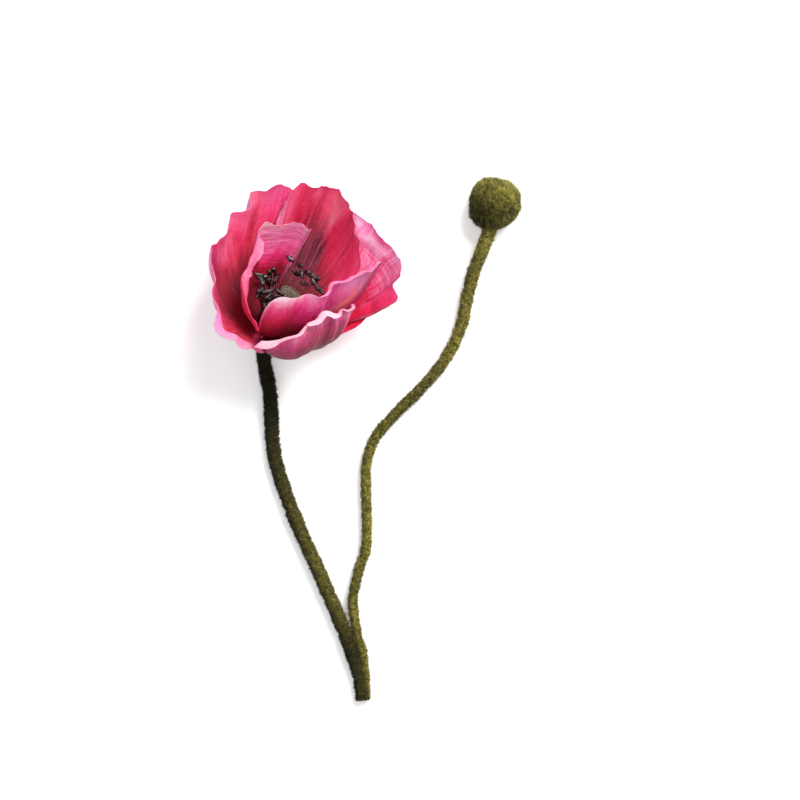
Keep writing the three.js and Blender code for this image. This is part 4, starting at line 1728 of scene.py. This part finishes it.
@dataclass
class Stamens:
    """The crown of dark filaments, each with a glossy anther lying across its tip.

    `placed` gives azimuth in degrees, radius and height of single tips; `loose` more are spread
    over the front.
    """

    seed: int = 77
    foot: tuple[float, float] = (5.4, 5.6)
    filament_radius: float = 0.24
    filament_sides: int = 7
    loose: int = 30
    anther_length: tuple[float, float] = (2.05, 2.95)
    anther_width: tuple[float, float] = (1.05, 1.42)
    anther_steps: int = 14
    collar_dye: Colour = (58, 14, 24)
    root_dye: Colour = (120, 34, 40)
    tip_dye: Colour = (34, 12, 18)
    anther_dye: Colour = (22, 12, 13)
    filament_finish: WrinkledFinish = WrinkledFinish(
        "filament_thread", size=2200, roughness=(0.35, 0.6), relief=0.3, lift=(170, 60, 60), lift_share=0.5
    )
    anther_finish: WrinkledFinish = WrinkledFinish(
        "anther_gloss", size=1500, roughness=(0.16, 0.4), relief=0.55, lift=(70, 60, 56), coat=0.4
    )
    collar: tuple[tuple[float, float], ...] = (
        (2.2, 2.9), (4.2, 3.2), (5.7, 4.2), (6.2, 5.2), (5.9, 6.3), (4.4, 6.9), (2.4, 7.0),
    )
    placed: tuple[tuple[float, float, float], ...] = (
        (105.7, 20.8, 24.5), (91.6, 19.5, 24.5), (91.1, 18.2, 20.0), (83.1, 18.5, 21.0), (77.3, 18.3, 24.0),
        (72.0, 18.1, 24.5), (64.6, 18.8, 24.5), (59.8, 17.8, 23.0), (59.7, 19.2, 24.5), (72.2, 18.3, 17.5),
        (44.8, 17.0, 24.0), (39.9, 18.0, 24.5), (123.2, 17.5, 18.5), (119.2, 17.7, 16.5), (128.5, 17.4, 16.5),
        (115.4, 18.1, 15.5), (157.5, 15.2, 20.0), (139.4, 16.5, 15.5), (132.4, 15.8, 14.0),
        (188.7, 11.3, 24.5), (130.1, 14.0, 14.0), (118.4, 14.7, 14.0), (117.7, 17.0, 14.0),
        (164.3, 14.6, 20.0), (204.2, 10.9, 20.0), (213.1, 9.8, 20.5), (221.6, 9.0, 24.5),
        (216.5, 6.6, 24.5), (205.9, 10.7, 22.0), (206.3, 10.7, 18.5), (252.1, 5.6, 24.5),
        (240.2, 2.9, 24.5), (241.0, 7.9, 20.0),
    )

    def tips(self) -> Array:
        """Where the anthers are.

        Returns:
            Azimuth in radians, radius and height of every one.
        """
        random = np.random.default_rng(self.seed)
        azimuth = np.radians(random.uniform(215, 395, self.loose))
        reach = (13 + 5.5 * np.sin(azimuth)) * random.uniform(0.75, 1.15, self.loose)
        loose = np.stack([azimuth, reach, random.uniform(14, 24, self.loose)], -1)
        return np.concatenate([np.array(self.placed) * [math.pi / 180, 1, 1], loose])

    def filament(self, azimuth: float, reach: float, height: float, bend: float) -> Array:
        """The middle line of one filament.

        Args:
            azimuth: Its tip's azimuth in radians.
            reach: Its tip's radius.
            height: Its tip's height.
            bend: How far it sways between foot and tip, in radians.

        Returns:
            (10, 3) places.
        """
        s = np.linspace(0, 1, 10)
        foot, start = self.foot[0], self.foot[1] - 0.6
        radius = foot + (reach - foot) * (0.45 * s + 0.55 * s**2)
        rise = start + (height - self.foot[1] + 0.6) * (1.25 * s - 0.25 * s**2)
        return BLOOM.point(azimuth + bend * np.sin(math.pi * s), radius, rise)

    def build(self) -> bpy.types.Object:
        """Returns:
            The piece.
        """
        random = np.random.default_rng(self.seed + 1)
        draft = MeshDraft("stamens_crown")
        self.add_collar(draft)
        for azimuth, reach, height in self.tips():
            line = self.filament(azimuth, reach, height, random.normal(0, 0.05))
            tangent, normal, binormal = carried_frames(line)
            self.add_filament(draft, line, normal, binormal, random)
            self.add_anther(draft, line[-1], tangent[-1], normal[-1], random)
        piece = draft.build([self.filament_finish.material(), self.anther_finish.material()])
        return declare(piece, "stamens", Slot.STAMEN_BLACK)

    def add_shell(self, draft: MeshDraft, rings: Array, slot: int, colour: Colour, free: float) -> None:
        """Adds closed rings in one dye.

        Args:
            draft: The mesh that they join.
            rings: (rows, sides, 3) places.
            slot: Their material slot.
            colour: The dye.
            free: The dye's free number.
        """
        points, quads, ends = skin(rings)
        dye = np.tile([*linear(colour), free], (len(points), 1))
        draft.add(points, quads, slot, np.zeros((len(points), 2)), dye, ends)

    def add_collar(self, draft: MeshDraft) -> None:
        """Adds the small collar that carries the filaments and closes the petals' roots.

        Args:
            draft: The mesh that it joins.
        """
        t, turn = ring_grid(0, 1, 26, 72)
        radius, height = (smooth_through(line, t) for line in zip(*self.collar))
        rings = BLOOM.point(turn, radius * (1 + 0.03 * np.cos(18 * turn)), height)
        self.add_shell(draft, rings, 0, self.collar_dye, 0.6)

    def add_filament(
        self, draft: MeshDraft, line: Array, normal: Array, binormal: Array, random: np.random.Generator
    ) -> None:
        """Adds one filament, thinner towards its tip.

        Args:
            draft: The mesh that it joins.
            line: Its middle line.
            normal: A direction square to it at each step.
            binormal: The other one.
            random: Source of its tone.
        """
        turns = np.linspace(0, FULL_TURN, self.filament_sides, endpoint=False)
        radius = self.filament_radius * np.linspace(1.25, 0.85, len(line))[:, None]
        points, quads, ends = skin(line[:, None] + around(normal[:, None], binormal[:, None], radius, turns))
        share = np.repeat(np.linspace(0, 1, len(line)) ** 0.7, self.filament_sides)
        share = np.concatenate([share, [0, 1]])[:, None]
        dyed = linear(self.root_dye) * (1 - share) + linear(self.tip_dye) * share
        dye = np.concatenate([dyed * random.uniform(0.6, 1.3), np.full((len(points), 1), 0.6)], 1)
        draft.add(points, quads, 0, np.zeros((len(points), 2)), dye, ends)

    def add_anther(
        self, draft: MeshDraft, tip: Array, along: Array, aside: Array, random: np.random.Generator
    ) -> None:
        """Adds one bean-shaped anther with a groove down its length.

        Args:
            draft: The mesh that it joins.
            tip: Where the filament ends.
            along: The filament's direction there.
            aside: A direction square to it.
            random: Source of its size and turn.
        """
        turn = random.uniform(0, FULL_TURN)
        level = aside * math.cos(turn) + np.cross(along, aside) * math.sin(turn)
        long_way = unit(level + along * random.uniform(-0.3, 0.7))
        wide_way = unit(np.cross(along, long_way))
        high_way = np.cross(long_way, wide_way)
        length, width = random.uniform(*self.anther_length), random.uniform(*self.anther_width)
        polar, angle = ring_grid(0.12, math.pi - 0.12, self.anther_steps, self.anther_steps)
        girth = np.sin(polar) ** 0.7 * (1 - 0.22 * np.maximum(0, np.cos(2 * angle)) * np.sin(polar))
        lump = 1 + 0.10 * rough(polar * 3, np.cos(angle) * 2 + 5, int(random.integers(1000)), 2)
        bend = 0.25 * np.cos(polar) ** 2
        rings = (
            tip
            + long_way * (length * -np.cos(polar))[..., None]
            + wide_way * (width * girth * lump * np.cos(angle))[..., None]
            + high_way * (width * 0.85 * girth * lump * np.sin(angle) + bend)[..., None]
        )
        self.add_shell(draft, rings, 1, self.anther_dye, random.uniform(0, 1))


# ---- stage -----------------------------------------------------------------------------------


@dataclass
class Studio:
    """Pale floor, soft light and the camera that looks straight down."""

    camera_place: tuple[float, float, float] = (0.01468, 0.01835, 1.2)
    lens: float = 117.39
    floor_half: float = 3.0
    floor_glow: float = 0.30
    surround: float = 0.62

    def floor(self) -> None:
        """Lays a plain pale floor with a faint paper grain."""
        mesh = bpy.data.meshes.new("floor")
        h = self.floor_half
        mesh.from_pydata([(-h, -h, 0), (h, -h, 0), (h, h, 0), (-h, h, 0)], [], [(0, 1, 2, 3)])
        material, wires, shader = begin_material("floor_paper")
        grain = wires.noise(wires.here(), 60.0, 2.0)
        wires.fill(
            shader,
            Base_Color=wires.mix("MIX", grain, (0.90, 0.90, 0.90, 1.0), (0.92, 0.92, 0.92, 1.0)),
            Roughness=0.9,
            Specular_IOR_Level=0.1,
            Emission_Color=(1.0, 1.0, 1.0, 1.0),
            Emission_Strength=self.floor_glow,
        )
        mesh.materials.append(material)
        put("floor", mesh)

    def lamp(
        self, name: str, place: Sequence[float], size: float, watts: float, colour: Sequence[float]
    ) -> None:
        """Adds a square soft lamp that faces the flower.

        Args:
            name: The lamp's name.
            place: Where it hangs, in metres.
            size: Its side, in metres.
            watts: Its power.
            colour: Its linear colour.
        """
        light = bpy.data.lights.new(name, "AREA")
        light.shape, light.size, light.energy, light.color = "SQUARE", size, watts, colour
        lamp = put(name, light)
        lamp.location = place
        lamp.rotation_euler = (-Vector(place)).to_track_quat("-Z", "Y").to_euler()

    def lights(self) -> None:
        """Adds a soft key from the upper right, a weak fill and a white surround."""
        self.lamp("key", (0.66, 0.98, 1.32), 0.8, 42.0, (1.0, 0.985, 0.96))
        self.lamp("fill", (-1.2, -0.9, 1.5), 1.2, 3.0, (0.95, 0.97, 1.0))
        world = bpy.data.worlds.new("surround")
        bpy.context.scene.world = world
        world.use_nodes = True
        wires = Wiring(world.node_tree)
        wires.fill(world.node_tree.nodes["Background"], Color=(1.0, 1.0, 1.0, 1.0), Strength=self.surround)

    def camera(self) -> None:
        """Hangs the camera straight above the flower's middle."""
        data = bpy.data.cameras.new("camera")
        data.lens, data.sensor_width, data.sensor_fit = self.lens, 36.0, "HORIZONTAL"
        data.clip_start, data.clip_end = 0.05, 20.0
        camera = put("camera", data)
        camera.location = self.camera_place
        bpy.context.scene.camera = camera

    def build(self) -> None:
        """Sets the whole stage."""
        self.camera()
        self.floor()
        self.lights()
        bpy.context.scene.view_settings.view_transform = "Standard"


# ---- the flower ------------------------------------------------------------------------------

STEM_FLOCK = FlockFinish("flock_stem")
STEMS = (
    FlockedStem(
        name="main_stem", finish=STEM_FLOCK, fibre_count=28000, seed=401, radii=(3.0, 3.1), rings=420,
        # painted shade: the main stem's flock is painted much darker on its shaded flank
        side_shade=0.84,
        knots=(
            (0.5, 0.3, 3.0), (-0.4, 8, 3.2), (-2.4, 16, 3.8), (-6.4, 27.5, 4.3), (-10.7, 38.5, 4.3),
            (-20.3, 60.8, 4.2), (-28.4, 78.4, 4.2), (-36.6, 100, 4.2), (-40.2, 113, 4.2), (-41.3, 125, 4.2),
            (-42.1, 140.8, 4.3), (-44.2, 152, 4.7), (-45.0, 160, 6.6), (-44.2, 166.4, 9.8),
            (-42.4, 171.6, 14.6), (-41.4, 173.5, 16.8),
        ),
        # painted shade along the main stem, darkest just below the bloom
        shade=(
            (0.0, 0.76), (0.05, 0.78), (0.1, 0.84), (0.15, 0.83), (0.21, 0.57), (0.26, 0.48), (0.37, 0.44),
            (0.42, 0.55), (0.48, 0.61), (0.53, 0.70), (0.58, 0.73), (0.64, 0.82), (0.69, 0.84), (0.74, 0.93),
            (0.79, 0.95), (0.84, 0.9), (1.0, 0.85),
        ),
    ),
    FlockedStem(
        name="bud_stem", finish=STEM_FLOCK, fibre_count=31000, seed=501, rings=520,
        radii=(1.7, 2.0, 2.05, 2.1, 2.25, 2.45, 2.7, 3.0),
        knots=(
            (1.7, 1.2, 3.0), (1.7, 8, 3.3), (1.3, 13.5, 3.8), (0.8, 18.4, 4.0), (0.3, 22.5, 4.2),
            (-1.4, 27.5, 4.2), (-3.5, 38.5, 4.2), (-4.2, 44, 4.2), (-3.7, 50, 4.2), (-1.1, 60.8, 4.2),
            (1.6, 69, 4.2), (2.4, 80, 4.2), (1.9, 96.7, 4.2), (2.2, 109, 4.2), (5.6, 119.7, 4.2),
            (14.3, 130.7, 4.2), (25.5, 141.7, 4.2), (35.4, 152.7, 4.2), (42.2, 163.7, 4.4),
            (46.3, 174.7, 4.8), (48.4, 185.6, 5.4), (51.3, 196.6, 6.6), (55.4, 207.4, 8.2),
            (58.5, 216, 9.8), (60, 220, 10.4),
        ),
        # painted shade along the bud stem
        shade=(
            (0.0, 0.2), (0.1, 0.22), (0.17, 0.06), (0.21, 0.34), (0.25, 0.18), (0.29, 0.04), (0.45, 0.0),
            (0.49, 0.12), (0.53, 0.3), (0.58, 0.44), (0.63, 0.42), (0.69, 0.34), (0.74, 0.1), (0.78, 0.09),
            (0.82, 0.15), (0.86, 0.33), (0.91, 0.26), (0.95, 0.0), (1.0, 0.0),
        ),
    ),
)


def main() -> None:
    """Builds the stage and the flower."""
    logging.basicConfig(level=logging.INFO, format="%(name)s: %(message)s")
    for part in (Studio(), *STEMS, Bud(), SeedCapsule(), Stamens(), *PETALS):
        part.build()


if __name__ == "__main__":
    main()
